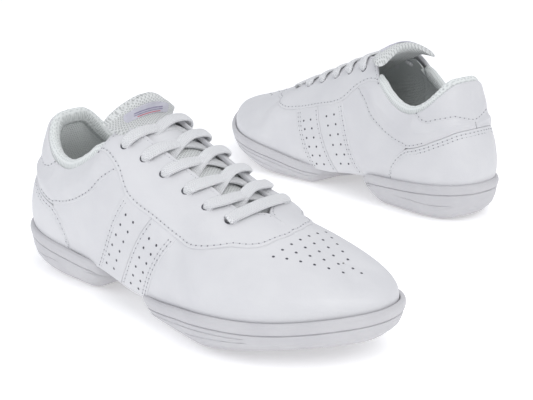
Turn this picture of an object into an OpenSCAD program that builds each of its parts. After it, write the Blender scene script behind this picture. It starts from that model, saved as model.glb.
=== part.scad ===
// Pair of lace-up split-sole cheer shoes.
// Each shoe is built in its own frame: X from heel to toe, Y to the left, Z up, heel to toe centred on X = 0.
// The upper is one skin S(s, t): s runs from the back of the heel (0) to the toe (1), t from the sole (0)
// to the topline or the centre line of the toe (1). Every panel is a patch of that skin with a thickness of
// its own.

/* [Size] */
// Outside length of one shoe without the sole rim
shoe_length = 260; // [234:1:286]
// Yaw of the left shoe about its own vertical axis, degrees
left_yaw = 168; // [150:1:180]
// Place of the left shoe's middle, seen from the right shoe's middle, along X
left_x = -76; // [-120:1:-40]
// The same along Y
left_y = 254; // [230:1:300]

/* [Materials] */
// Thickness of the leather
leather = 1.8; // [1.4:0.1:2.0]
// Gap between neighbouring panels
seam_gap = 0.35; // [0.3:0.05:0.5]
// Thickness of the rubber tread
tread = 3.5; // [3:0.1:4]
// Height that the sole rim stands above the foot line
rim_lip = 2.2; // [1.5:0.1:2.5]

/* [Lace] */
// Width of the flat oval lace
lace_w = 7; // [5:0.5:8]
// Thickness of the lace
lace_t = 2.6; // [2:0.1:3]

/* [Hidden] */
PIECES = ["heel_outsole", "heel_midsole", "forefoot_outsole", "forefoot_midsole", "heel_board",
          "forefoot_board", "arch_sleeve", "sockliner", "vamp", "toe_puff", "eyestay",
          "stripe_front_lateral", "stripe_front_medial", "stripe_rear_lateral", "stripe_rear_medial",
          "quarter_lateral", "quarter_medial", "collar_panel_lateral", "collar_panel_medial",
          "heel_counter", "counter_stiffener", "heel_tab", "collar_binding", "rear_lining",
          "front_lining", "tongue", "tongue_top", "tongue_label", "lace_keeper", "lace"];

WHITE = [0.87, 0.88, 0.90];
SOLE = [0.80, 0.79, 0.81];
KNIT = [0.76, 0.79, 0.77];
BOARD = [0.72, 0.66, 0.55];

// ---- the last: stations along the shoe, each row starts with s ----
HALF = [[0, 52], [.1, 46], [.2, 39], [.3, 35], [.4, 35], [.5, 38.5], [.6, 45], [.7, 53], [.8, 56], [.9, 54],
        [1, 47]];                      // half width before the ends are rounded off
MID = [[0, 0], [.1, 0], [.2, 1], [.3, 3], [.4, 5], [.5, 5], [.6, 5], [.7, 6], [.8, 5], [.9, 1], [1, -6]];
FEATHER = [[0, 26], [.2, 21.5], [.35, 18.5], [.45, 15], [.55, 16], [.7, 22.5], [.85, 25], [.93, 27], [1, 29]];
// topline and toe centre line: s, x, half gap, z
TOP = [[0, -113, 0, 95], [.03, -112, 11, 94], [.08, -107, 20, 87], [.14, -97, 26, 76], [.20, -84, 28, 71],
       [.26, -70, 29, 75], [.32, -55, 27, 86], [.36, -44, 21, 99], [.40, -34, 17, 101], [.50, -6, 15, 89],
       [.60, 22, 13.5, 76.5], [.68, 42, 12, 67], [.72, 51, 0.001, 64], [.78, 65, 0, 59], [.86, 80, 0, 54],
       [.95, 95, 0, 48.5], [1, 99, 0, 46.8]];
TOPMID = [[0, 0], [.3, 0], [.5, -1.5], [.69, -2], [.85, -3], [1, -6]];
// fullness of the side: s, outwards and up from the sole, outwards and down from the top
HAND = [[0, 6, 22, 4, 26], [.1, 6, 20, 5, 20], [.2, 5, 16, 5, 14], [.3, 5, 20, 8, 18], [.4, 6, 26, 18, 14],
        [.5, 7, 24, 24, 10], [.6, 6, 22, 26, 8], [.7, 5, 20, 30, 2], [.85, 3, 19, 29, 0], [1, 1, 14, 20, 0]];
RIDGE = 0.72;                          // from here on both sides meet on the centre line
END_ROUND = 0.42;                      // roundness of heel and toe in plan
EPS = 0.001;

// ---- smooth curve through a table of stations ----
function seg(T, s, i = 0) = (i >= len(T) - 2 || s < T[i + 1][0]) ? i : seg(T, s, i + 1);
function slope(T, i) = i == 0 ? (T[1] - T[0]) / (T[1][0] - T[0][0])
    : i == len(T) - 1 ? (T[i] - T[i - 1]) / (T[i][0] - T[i - 1][0])
    : (T[i + 1] - T[i - 1]) / (T[i + 1][0] - T[i - 1][0]);
function curve(T, s) = let (i = seg(T, s), a = T[i], b = T[i + 1], h = b[0] - a[0], u = (s - a[0]) / h)
    a * (2*u*u*u - 3*u*u + 1) + slope(T, i) * h * (u*u*u - 2*u*u + u)
    + b * (3*u*u - 2*u*u*u) + slope(T, i + 1) * h * (u*u*u - u*u);
function feather(s) = curve(FEATHER, s)[1];
function smooth(u) = let (v = max(0, min(1, u))) v * v * (3 - 2 * v);

// ---- plan outline and the skin ----
K = shoe_length / 260;
function angle_of(s) = acos(1 - 2 * max(0, min(1, s)));
function station(a) = (1 - cos(a)) / 2;
function plan(s, side) = [260 * (s - 0.5),
    curve(MID, s)[1] + side * curve(HALF, s)[1] * pow(max(0, 4 * s * (1 - s)), END_ROUND)];
function plan_normal(s, side) = let (a = angle_of(s))
    s < 0.0001 ? [-1, 0] : s > 0.9999 ? [1, 0]
    : let (d = plan(station(min(180, a + 0.3)), side) - plan(station(max(0, a - 0.3)), side))
      side * [-d[1], d[0]] / norm(d);
function ridge_slope(s) = s <= RIDGE ? 0
    : let (a = curve(TOP, min(1, s + EPS)), b = curve(TOP, s - EPS)) (b[3] - a[3]) / max(0.000001, a[1] - b[1]);
function rib(s, side) = let (b = plan(s, side), n = plan_normal(s, side), h = curve(HAND, s), p = curve(TOP, s),
        p0 = [b[0], b[1], feather(s)],
        p3 = [p[1], curve(TOPMID, s)[1] + side * max(0, p[2]), p[3]])
    [p0, p0 + [n[0] * h[1], n[1] * h[1], h[2]],
     p3 + [n[0] * h[3], n[1] * h[3], -h[4] - ridge_slope(s) * n[0] * h[3]], p3];
function bez(r, t) = pow(1 - t, 3) * r[0] + 3 * pow(1 - t, 2) * t * r[1] + 3 * (1 - t) * t * t * r[2] + t*t*t * r[3];
function S0(s, t, side) = bez(rib(s, side), t);
function unit(v) = v / max(0.000001, norm(v));
function raw_normal(s, t, side) = let (a = angle_of(s), d = 0.3)
    side * unit(cross(S0(s, min(1, t + .004), side) - S0(s, max(0, t - .004), side),
                      S0(station(min(180, a + d)), t, side) - S0(station(max(0, a - d)), t, side)));
function on_seam(s, t) = (s < 0.0001 || s > 0.9999 || (t > 0.9999 && s >= RIDGE));
function skin_normal(s, t, side) = on_seam(s, t)
    ? unit(raw_normal(s, t, 1) + raw_normal(s, t, -1)) : raw_normal(s, t, side);
// point of the skin, moved outwards by off; y to the medial (left) side of a right shoe
function S(s, t, side, off = 0) = let (p = S0(s, t, side) + off * skin_normal(s, t, side)) [p[0], -p[1], p[2]];

// ---- solid between two point grids of the same size, with walls round the edge ----
function grid_faces(nu, nv) = let (w = nv, o = nu * nv) concat(
    [for (i = [0:nu - 2], j = [0:nv - 2])
        for (f = [[i*w+j, i*w+j+1, (i+1)*w+j+1], [i*w+j, (i+1)*w+j+1, (i+1)*w+j]]) f],
    [for (i = [0:nu - 2], j = [0:nv - 2])
        for (f = [[o+i*w+j, o+(i+1)*w+j+1, o+i*w+j+1], [o+i*w+j, o+(i+1)*w+j, o+(i+1)*w+j+1]]) f],
    [for (i = [0:nu - 2]) for (f = [[i*w, (i+1)*w, o+(i+1)*w], [i*w, o+(i+1)*w, o+i*w]]) f],
    [for (i = [0:nu - 2])
        for (f = [[i*w+w-1, o+(i+1)*w+w-1, (i+1)*w+w-1], [i*w+w-1, o+i*w+w-1, o+(i+1)*w+w-1]]) f],
    [for (j = [0:nv - 2]) for (f = [[j, o+j+1, j+1], [j, o+j, o+j+1]]) f],
    [for (j = [0:nv - 2])
        for (f = [[(nu-1)*w+j, (nu-1)*w+j+1, o+(nu-1)*w+j+1], [(nu-1)*w+j, o+(nu-1)*w+j+1, o+(nu-1)*w+j]]) f]);
module slab(outer, inner) {
    nu = len(outer);
    nv = len(outer[0]);
    polyhedron(points = [for (g = [outer, inner]) for (r = g) for (p = r) p], faces = grid_faces(nu, nv));
}
// patch of one side: low and high are functions of u that give [s, t]; bow(u, v) moves s between them
module patch(side, nu, nv, off_out, off_in, low, high, bow = function(u, v) 0) {
    function P(u, v, off) = let (q = low(u) * (1 - v) + high(u) * v) S(q[0] + bow(u, v), q[1], side, off);
    function G(off) = [for (i = [0:nu]) [for (j = [0:nv]) P(i / nu, (side > 0 ? j : nv - j) / nv, off)]];
    slab(G(off_out), G(off_in));
}
// patch that goes round the back of the heel, from s_end on one side to s_end on the other
module back_patch(s_end, nu, nv, off_out, off_in, low, high) {
    a_end = angle_of(s_end);
    function P(u, v, off) = let (a = a_end * abs(u), s = station(a), side = u < 0 ? -1 : 1)
        S(s, low(s) * (1 - v) + high(s) * v, side, off);
    function G(off) = [for (i = [-nu:nu]) [for (j = [0:nv]) P(i / nu, j / nv, off)]];
    slab(G(off_out), G(off_in));
}

// ---- seams, all in s and t ----
function along(P, u) = lookup(u, P);
EYE_LOW = [[.322, 1], [.334, .94], [.352, .83], [.375, .74], [.399, .676], [.435, .58], [.526, .56],
           [.607, .535], [.65, .53], [.70, .59], [.743, .655], [.765, .73], [.78, .85], [.80, .99]];
COLLAR_LOW = [[0, .58], [.02, .565], [.05, .535], [.103, .505], [.164, .50], [.179, .535], [.24, .60],
              [.285, .635], [.328, .635], [.37, .64], [.399, .676]];
COUNTER_TOP = [[0, .58], [.02, .565], [.05, .535], [.103, .505], [.164, .497], [.18, .46], [.194, .40],
               [.206, .31], [.213, .17], [.216, 0]];
TAB_LOW = [[0, .64], [.008, .655], [.03, .69], [.055, .70], [.108, .75], [.142, .85], [.160, .93], [.172, .99]];
// stripe edges: bottom station, top station
STRIPE_FRONT = [.498, .607];
STRIPE_MID = [.402, .526];
STRIPE_REAR = [.305, .435];
QUARTER_REAR = [.216, .17];
GS = seam_gap / 260;                   // seam gap as a step in s
GT = seam_gap / 75;                    // and as a step in t

function edge_line(E, t, t_top) = E[0] + (E[1] - E[0]) * t / t_top;

// ---- uppers ----
// Shell over the front of the shoe. A rib is [s low, t low, s high, t high] on both sides; where t high reaches 1
// on the ridge the two sides join, and a rib at s = 1 is folded flat on the toe.
module shell(ribs, nv, off_out, off_in) {
    n = len(ribs);
    m = 2 * nv + 2;
    closed = function(i) ribs[i][3] > .9999 && ribs[i][2] > RIDGE - EPS;
    folded = function(i) ribs[i][0] > .9999;
    rib_point = function(i, j, off) let (r = ribs[i], v = (j <= nv ? j : m - 1 - j) / nv)
        S(r[0] + (r[2] - r[0]) * v, r[1] + (r[3] - r[1]) * v, j <= nv ? 1 : -1, off);
    id = function(k, i, j) k * n * m + i * m
        + (folded(i) && j > nv ? m - 1 - j : closed(i) && j == nv + 1 ? nv : j);
    quad = function(a, b, c, d) [[a, b, c], [a, c, d]];
    strips = [for (j = [0:m - 2]) if (j != nv) j];
    rims = [for (i = [0:n - 2])
        for (e = closed(i) ? [[0, 1], [m - 1, 0]] : [[0, 1], [m - 1, 0], [nv, 0], [nv + 1, 1]])
        [i, e[0], e[1]]];
    faces = concat(
        [for (i = [0:n - 2], j = strips) for (f = quad(id(0,i,j), id(0,i,j+1), id(0,i+1,j+1), id(0,i+1,j))) f],
        [for (i = [0:n - 2], j = strips) for (f = quad(id(1,i,j), id(1,i+1,j), id(1,i+1,j+1), id(1,i,j+1))) f],
        [for (r = rims) let (i = r[0], j = r[1], a = id(0,i,j), b = id(0,i+1,j), c = id(1,i+1,j), d = id(1,i,j))
            for (f = r[2] == 1 ? quad(a, b, c, d) : quad(a, d, c, b)) f],
        [for (j = strips) for (f = quad(id(0,0,j), id(1,0,j), id(1,0,j+1), id(0,0,j+1))) f],
        folded(n - 1) ? [] : [for (j = strips)
            for (f = quad(id(0,n-1,j), id(0,n-1,j+1), id(1,n-1,j+1), id(1,n-1,j))) f]);
    polyhedron(points = [for (off = [off_out, off_in], i = [0:n - 1], j = [0:m - 1]) rib_point(i, j, off)],
               faces = [for (f = faces) if (f[0] != f[1] && f[1] != f[2] && f[0] != f[2]) f]);
}
module eyestay() {
    st = concat([for (i = [0:15]) .327 + (RIDGE - .327) * i / 16], [RIDGE, .74, .76, .775, .785]);
    color(WHITE) shell([for (s = st) [s, along(EYE_LOW, s) + GT, s, 1]], 4, 0, -leather);
}
TOE = [for (a = [132:6:180]) a < 180 ? station(a) : 1];   // stations over the toe
module vamp() {
    s0 = STRIPE_FRONT[0] + GS * 2;
    s1 = STRIPE_FRONT[1] + GS * 2;
    s2 = .795;
    open = [for (i = [0:10]) let (u = i / 10, s = s1 + (s2 - s1) * u)
        [s0 + (s2 - s0) * u, 0, s, along(EYE_LOW, s) - GT]];
    color(WHITE) shell(concat(open, [for (s = concat([.805], TOE)) [s, 0, s, 1]]), 5, 0, -leather);
}
module toe_puff() {
    color(BOARD) shell([for (s = TOE) if (s > .86) [s, .04, s, 1]], 4, -leather - .35, -leather - 1.35);
}
module stripe(side, E, F) {
    color(WHITE) patch(side, 3, 7, 0, -leather,
        function(u) [E[0] + GS + (F[0] - E[0] - 2 * GS) * u, 0],
        function(u) let (s = E[1] + GS + (F[1] - E[1] - 2 * GS) * u) [s, along(EYE_LOW, s) - GT]);
}
module quarter(side) {
    top = [[0, .17, .5], [.12, .20, .553], [.3, .252, .603], [.5, .30, .632], [.7, .352, .632], [.88, .399, .669],
           [1, .435, .575]];
    pick = function(u, c) lookup(u, [for (r = top) [r[0], r[c]]]);
    rear_bow = [[0, .001], [.34, .0140], [.62, .0200], [.8, .0165], [.92, .008], [1, .001]];
    color(WHITE) patch(side, 14, 6, 0, -leather,
        function(u) [QUARTER_REAR[0] + GS * 2 + (STRIPE_REAR[0] - QUARTER_REAR[0] - 3 * GS) * u, 0],
        function(u) [pick(u, 1) + GS * (2 - 3 * u), pick(u, 2) - 1.5 * GT],
        function(u, v) lookup(v, rear_bow) * pow(1 - u, 2));
}
module collar_panel(side) {
    s0 = .00004;
    s1 = .395;
    top = function(s) s < .172 ? along(TAB_LOW, s) - GT : s < .3225 ? 1 : along(EYE_LOW, s) - 2.5 * GT;
    a0 = angle_of(s0);
    a1 = angle_of(s1);
    color(WHITE) patch(side, 20, 4, 0, -leather,
        function(u) let (s = station(a0 + (a1 - a0) * u)) [s, along(COLLAR_LOW, s) + GT],
        function(u) let (s = station(a0 + (a1 - a0) * u)) [s, top(s)]);
}
module heel_counter() {
    color(WHITE) back_patch(.2155, 16, 4, 0, -leather, function(s) 0, function(s) along(COUNTER_TOP, s) - GT);
}
module counter_stiffener() {
    color(BOARD) back_patch(.17, 9, 4, -leather - .35, -leather - 1.35, function(s) .03, function(s) .47);
}
module heel_tab() {
    color(WHITE) back_patch(.1725, 10, 3, 0, -leather, function(s) along(TAB_LOW, s), function(s) 1);
}
module rear_lining() {
    color(KNIT) back_patch(.345, 15, 4, -leather - 1.7, -leather - 4.2, function(s) .06, function(s) .86);
}
module front_lining() {
    open = [for (i = [0:10]) let (s = .35 + .41 * i / 10) [s, .04, s, .82 + .15 * max(0, s - .66) / .1]];
    color(KNIT) shell(concat(open, [for (s = concat([.79], TOE)) [s, .04, s, 1]]), 4,
                      -leather - 1.7, -leather - 2.7);
}
// ---- tubes along a path ----
function ring(c, d, up, r, n) = let (x = unit(cross(up, d)), y = unit(cross(d, x)))
    [for (k = [0:n - 1]) let (a = 360 * k / n) c + x * r[0] * cos(a) + y * r[1] * sin(a)];
module tube(P, U, r, n) {
    m = len(P);
    rings = [for (i = [0:m - 1]) ring(P[i], unit(P[min(m - 1, i + 1)] - P[max(0, i - 1)]), U[i], r, n)];
    polyhedron(points = [for (q = rings) for (p = q) p], faces = concat(
        [[for (k = [0:n - 1]) k]], [[for (k = [n - 1:-1:0]) (m - 1) * n + k]],
        [for (i = [0:m - 2], k = [0:n - 1]) let (a = i * n + k, b = i * n + (k + 1) % n)
            for (f = [[a, a + n, b], [b, a + n, b + n]]) f]));
}
module collar_binding() {
    a_end = angle_of(.318);
    n = 16;
    function at(u) = let (s = station(a_end * abs(u)), side = u < 0 ? -1 : 1, p = S(s, 1, side, 0),
                          q = S(s, .93, side, -leather - 5)) [q[0], q[1], p[2] - 2.6];
    path = [for (i = [-n:n]) at(i / n)];
    color(KNIT) tube(path, [for (p = path) [0, 0, 1]], [3.4, 4.6], 8);
}

// ---- tongue: centre line in X and Z with half width and drop of the edges, row by row ----
TONGUE = [[0, 55, 58.2, 15, 6.5], [.2, 38, 64.8, 19, 6.5], [.45, 14, 76.4, 22, 6.5],
          [.75, -14, 89.6, 24, 6.5], [1, -39, 101.8, 26, 6.5]];
// padded top of the tongue: upright on the right shoe, leaning back on the left one
TONGUE_TOP = [[0, -41.3, 103.6, 13, 1.6], [.3, -41.8, 107.5, 22, 4.5], [.6, -41.3, 112.2, 28, 9],
              [.9, -39.8, 117, 26, 11.5], [1, -39.2, 118.6, 18, 6.4]];
LEFT_TONGUE_TOP = [[0, -41.3, 103.6, 13, 1.6], [.3, -44.5, 105.6, 22, 4], [.6, -48, 107.6, 28, 8],
                   [.9, -51.6, 109.4, 26, 10], [1, -53, 110, 18, 5.5]];
DROP = unit([.44, 0, .9]);             // way in which the edges drop
function tongue_row(T, q, th, w) = let (p = curve(T, q), a = curve(T, max(0, q - .02)),
        b = curve(T, min(1, q + .02)), d = unit([b[1] - a[1], 0, b[2] - a[2]]), n = [d[2], 0, -d[0]])
    [for (j = [-5:5]) let (v = w * j / 5)
        [p[1], p[3] * v - curve(TOPMID, .5)[1], p[2]] + n * th * sqrt(1 - .75 * v * v) - DROP * p[4] * v * v];
TONGUE_HALF = 2;                       // half thickness of the tongue
TIP_HALF = 4;                          // half thickness of its padded top
module tongue_slab(T, n, half) {
    slab([for (i = [0:n]) tongue_row(T, i / n, half, 1)],
         [for (i = [0:n]) tongue_row(T, i / n, -half, 1)]);
}
// thin strip on the tongue's front, from q0 to q1 along it and over the share w of its width
module sewn_on(T, q0, q1, n, half, w, low, high) {
    rows = function(lift) [for (i = [0:n]) tongue_row(T, q0 + (q1 - q0) * i / n, half + lift, w)];
    slab(rows(high), rows(low));
}
module tongue() { color(KNIT) tongue_slab(TONGUE, 8, TONGUE_HALF); }
module tongue_top(T) { color(KNIT) tongue_slab(T, 8, TIP_HALF); }
module tongue_label(T) { color([.80, .79, .86]) sewn_on(T, .125, .75, 5, TIP_HALF, .66, .4, .95); }
module lace_keeper() { color(WHITE) sewn_on(TONGUE, .80, .92, 3, TONGUE_HALF, .52, .4, 1.7); }

// ---- lace: through six pairs of eyelets, out at the throat edge and across to the next eyelet ----
EYE_S = [.688, .630, .571, .512, .457, .402];
EYE_T = .862;
function up_at(k, side) = S(EYE_S[k], EYE_T, side, 2.2);
function hole(k, side) = S(EYE_S[k], EYE_T + .006, side, -4.6);
function under(k, side) = let (s = EYE_S[k] - .022) S(s, .985, side, -3.4);
function over(k, side) = S(EYE_S[k + 1] + .012, .97, side, 2.6);
function hump(k, side) = let (a = under(k, -side), b = over(k, side), c = (a + b) / 2)
    [c[0], c[1], max(a[2], b[2]) + (side > 0 ? 1.2 : 3.8)];
function crossing(k, side) = [hole(k, -side), under(k, -side), hump(k, side), over(k, side),
                              up_at(k + 1, side) + [0, side * -2.5, -.2]];
function bar() = [up_at(0, 1) + [0, -2.5, -.2], S(EYE_S[0], .96, 1, 3),
                  (S(EYE_S[0], 1, 1, 5) + S(EYE_S[0], 1, -1, 5)) / 2 + [0, 0, -1],
                  S(EYE_S[0], .96, -1, 3), up_at(0, -1) + [0, 2.5, -.2]];
function half_path(side) = [for (k = [0:4]) for (p = crossing(k, k % 2 == 0 ? -side : side)) p];
function rev(P) = [for (i = [len(P) - 1:-1:0]) P[i]];
function mid3(P) = concat([P[0]],
    [for (i = [0:len(P) - 2]) for (p = [(P[i] * 3 + P[i+1]) / 4, (P[i] + P[i+1] * 3) / 4]) p],
    [P[len(P) - 1]]);
module lace() {
    last_r = [hole(5, -1), S(EYE_S[5] - .01, .9, -1, -7)];
    last_l = [hole(5, 1), S(EYE_S[5] - .01, .9, 1, -7)];
    path = mid3(concat(rev(last_l), rev(half_path(-1)), bar(), half_path(1), last_r));
    color(WHITE) tube(path, [for (p = path) [.35, 0, 1]], [lace_w / 2, lace_t / 2], 6);
}

// ---- soles: rings round a unit, its ends tapered ----
HEEL_END = .352;
FORE_END = .437;
TOP_DROP = 2.6;                        // fall of the top below the foot line under the arch
// heel bevel, flat, toe spring; the arch ends rise like the bow of a boat
GROUND = [[0, 2.5], [.05, .2], [.1, 0], [.58, 0], [.64, .4], [.7, 2], [.8, 6], [.9, 9], [1, 10.5]];
function arch_rise(s) = s < .4 ? 9 * smooth((s - .25) / .10) : 7 * smooth((.488 - s) / .04);
function ground(s) = max(0, curve(GROUND, s)[1]) + arch_rise(s);
heel_top = function(s) feather(s) - TOP_DROP * smooth((s - .22) / .05);
fore_top = function(s) feather(s) - TOP_DROP * smooth((.56 - s) / .05);
function sole_point(s, side, off, z, taper) = let (b = plan(s, side) + off * plan_normal(s, side),
        m = curve(MID, s)[1]) [b[0], -(m + (b[1] - m) * taper), z];
module sole_unit(angles, taper, profile) {
    n = len(angles);
    m = 2 * n - 2;
    ring_at = function(r) [for (k = [0:m - 1]) let (i = k < n ? k : 2 * n - 2 - k, s = station(angles[i]))
        sole_point(s, k < n ? 1 : -1, r[0], r[1](s), taper(s))];
    rings = [for (r = profile) ring_at(r)];
    nr = len(rings);
    lad = function(o, flip) [for (i = [0:n - 2])
        let (a = o + i, b = o + i + 1, c = o + (m - i - 1) % m, d = o + (m - i) % m)
        for (f = i == 0 ? [[a, c, b]] : i == n - 2 ? [[a, d, b]] : [[a, d, c], [a, c, b]])
            flip ? [f[2], f[1], f[0]] : f];
    polyhedron(points = [for (q = rings) for (p = q) p], faces = concat(lad(0, true), lad((nr - 1) * m, false),
        [for (i = [0:nr - 2], k = [0:m - 1]) let (a = i * m + k, b = i * m + (k + 1) % m)
            for (f = [[a, a + m, b], [b, a + m, b + m]]) f]));
}
HEEL_ANGLES = [for (i = [0:14]) angle_of(HEEL_END * station(180 * i / 14))];
FORE_ANGLES = [for (i = [0:20]) angle_of(FORE_END + (1 - FORE_END) * station(180 * i / 20))];
heel_taper = function(s) s < .23 ? 1 : sqrt(max(0, 1 - pow((s - .23) / (HEEL_END - .23), 4)));
fore_taper = function(s) s > .57 ? 1 : sqrt(max(0, 1 - pow((.57 - s) / (.57 - FORE_END), 4)));
// rings of the outsole and of the midsole's side: offset from the outline, height
OUTSOLE = [[-9, function(s) ground(s)], [-6, function(s) ground(s) + 1.1],
           [-3.5, function(s) ground(s) + tread]];
module heel_outsole() {
    color(SOLE) sole_unit(HEEL_ANGLES, heel_taper, OUTSOLE);
}
module midsole(angles, taper, top) {
    up = function(s, share) ground(s) + tread + share * (top(s) - ground(s) - tread);
    color(WHITE) sole_unit(angles, taper, [[-3.5, function(s) up(s, 0)], [.5, function(s) up(s, .25)],
        [2.5, function(s) up(s, .55)], [3.3, function(s) up(s, .85)], [3.4, function(s) up(s, .97)],
        [2.6, function(s) top(s) + rim_lip], [.8, function(s) top(s) + rim_lip - .2],
        [.4, function(s) top(s) - seam_gap]]);
}
module heel_midsole() { midsole(HEEL_ANGLES, heel_taper, heel_top); }
module forefoot_outsole() {
    color(SOLE) sole_unit(FORE_ANGLES, fore_taper, OUTSOLE);
}
module forefoot_midsole() { midsole(FORE_ANGLES, fore_taper, fore_top); }
module plate(angles, off, z0, z1) {
    s0 = station(angles[0]);
    s1 = station(angles[len(angles) - 1]);
    sole_unit(angles, function(s) s0 > .01 && s < s0 + .02 ? sqrt((s - s0) / .02)
              : s1 < .99 && s > s1 - .02 ? sqrt((s1 - s) / .02) : 1,
        [[off, function(s) feather(s) + z0], [off, function(s) feather(s) + z1]]);
}
module heel_board() {
    color(BOARD) plate([for (i = [0:10]) angle_of(.24) * i / 10], -9.5, .5, 1.8);
}
module forefoot_board() {
    a = angle_of(.52);
    color(BOARD) plate([for (i = [0:12]) a + (180 - a) * i / 12], -9.5, .5, 1.8);
}
module sockliner() {
    color(KNIT) plate([for (i = [0:20]) 180 * i / 20], -10.5, 2.1, 5.5);
}
module arch_sleeve() {
    inset = leather + 3.4;
    row = function(s, z) [for (j = [-6:6]) let (m = curve(MID, s)[1], h = plan(s, 1)[1] - m - inset)
        [260 * (s - .5), -(m + h * j / 6), feather(s) + z]];
    st = [for (i = [0:10]) .25 + .26 * i / 10];
    color(WHITE) slab([for (s = st) row(s, .4)], [for (s = st) row(s, 1.9)]);
}

// ---- one shoe, in its own frame ----
module piece(name, tip) {
    scale(K) {
        if (name == "heel_outsole") heel_outsole();
        if (name == "heel_midsole") heel_midsole();
        if (name == "forefoot_outsole") forefoot_outsole();
        if (name == "forefoot_midsole") forefoot_midsole();
        if (name == "heel_board") heel_board();
        if (name == "forefoot_board") forefoot_board();
        if (name == "arch_sleeve") arch_sleeve();
        if (name == "sockliner") sockliner();
        if (name == "vamp") vamp();
        if (name == "toe_puff") toe_puff();
        if (name == "eyestay") eyestay();
        if (name == "stripe_front_lateral") stripe(1, STRIPE_MID, STRIPE_FRONT);
        if (name == "stripe_front_medial") stripe(-1, STRIPE_MID, STRIPE_FRONT);
        if (name == "stripe_rear_lateral") stripe(1, STRIPE_REAR, STRIPE_MID);
        if (name == "stripe_rear_medial") stripe(-1, STRIPE_REAR, STRIPE_MID);
        if (name == "quarter_lateral") quarter(1);
        if (name == "quarter_medial") quarter(-1);
        if (name == "collar_panel_lateral") collar_panel(1);
        if (name == "collar_panel_medial") collar_panel(-1);
        if (name == "heel_counter") heel_counter();
        if (name == "counter_stiffener") counter_stiffener();
        if (name == "heel_tab") heel_tab();
        if (name == "collar_binding") collar_binding();
        if (name == "rear_lining") rear_lining();
        if (name == "front_lining") front_lining();
        if (name == "tongue") tongue();
        if (name == "tongue_top") tongue_top(tip);
        if (name == "tongue_label") tongue_label(tip);
        if (name == "lace_keeper") lace_keeper();
        if (name == "lace") lace();
    }
}
module right_shoe(name) { piece(name, TONGUE_TOP); }
module left_shoe(name) {
    translate([left_x, left_y, 0]) rotate([0, 0, left_yaw]) mirror([0, 1, 0]) piece(name, LEFT_TONGUE_TOP);
}

for (name = PIECES) {
    right_shoe(name);
    left_shoe(name);
}
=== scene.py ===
import math
import bpy
import bmesh
import numpy as np
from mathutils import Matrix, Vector


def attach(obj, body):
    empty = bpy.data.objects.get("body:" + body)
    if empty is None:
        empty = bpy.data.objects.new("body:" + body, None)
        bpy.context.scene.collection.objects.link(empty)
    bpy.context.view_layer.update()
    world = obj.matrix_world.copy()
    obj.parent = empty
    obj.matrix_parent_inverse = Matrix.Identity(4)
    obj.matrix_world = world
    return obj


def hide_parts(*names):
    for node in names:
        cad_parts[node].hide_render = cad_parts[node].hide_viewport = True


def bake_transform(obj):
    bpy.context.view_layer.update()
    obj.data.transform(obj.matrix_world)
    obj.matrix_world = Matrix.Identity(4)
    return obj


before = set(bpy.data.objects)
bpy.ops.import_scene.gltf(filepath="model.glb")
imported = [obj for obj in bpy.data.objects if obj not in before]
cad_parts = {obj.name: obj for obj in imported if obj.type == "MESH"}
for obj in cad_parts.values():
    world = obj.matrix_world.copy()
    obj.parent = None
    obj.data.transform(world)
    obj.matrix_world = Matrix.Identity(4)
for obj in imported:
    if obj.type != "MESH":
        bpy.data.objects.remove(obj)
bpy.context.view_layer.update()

# Lengths inside the shoe functions are millimetres in the shoe's own frame: x from heel to toe, w to the
# outside of the foot, z up. to_row() brings them to the row frame in metres.
MM = 0.001
LENGTH = 260.0
LEFT_YAW = math.radians(168)
LEFT_AT = (-76.0, 254.0)
SHOES = ("right", "left")
SIDES = {"lateral": 1.0, "medial": -1.0}

# ---- the last, as in the CAD model
HALF = [[0, 52], [.1, 46], [.2, 39], [.3, 35], [.4, 35], [.5, 38.5], [.6, 45], [.7, 53], [.8, 56], [.9, 54],
        [1, 47]]
MID = [[0, 0], [.1, 0], [.2, 1], [.3, 3], [.4, 5], [.5, 5], [.6, 5], [.7, 6], [.8, 5], [.9, 1], [1, -6]]
FEATHER = [[0, 26], [.2, 21.5], [.35, 18.5], [.45, 15], [.55, 16], [.7, 22.5], [.85, 25], [.93, 27], [1, 29]]
TOP = [[0, -113, 0, 95], [.03, -112, 11, 94], [.08, -107, 20, 87], [.14, -97, 26, 76], [.20, -84, 28, 71],
       [.26, -70, 29, 75], [.32, -55, 27, 86], [.36, -44, 21, 99], [.40, -34, 17, 101], [.50, -6, 15, 89],
       [.60, 22, 13.5, 76.5], [.68, 42, 12, 67], [.72, 51, .001, 64], [.78, 65, 0, 59], [.86, 80, 0, 54],
       [.95, 95, 0, 48.5], [1, 99, 0, 46.8]]
TOPMID = [[0, 0], [.3, 0], [.5, -1.5], [.69, -2], [.85, -3], [1, -6]]
HAND = [[0, 6, 22, 4, 26], [.1, 6, 20, 5, 20], [.2, 5, 16, 5, 14], [.3, 5, 20, 8, 18], [.4, 6, 26, 18, 14],
        [.5, 7, 24, 24, 10], [.6, 6, 22, 26, 8], [.7, 5, 20, 30, 2], [.85, 3, 19, 29, 0], [1, 1, 14, 20, 0]]
RIDGE = .72              # station from which the two sides meet on the ridge
END_ROUND = .42          # roundness of the plan outline at heel and toe


def hermite(u, a, slope_a, b, slope_b):
    """Cubic from a at u = 0 to b at u = 1."""
    return ((2 * u**3 - 3 * u**2 + 1) * a + (u**3 - 2 * u**2 + u) * slope_a
            + (3 * u**2 - 2 * u**3) * b + (u**3 - u**2) * slope_b)


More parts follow.
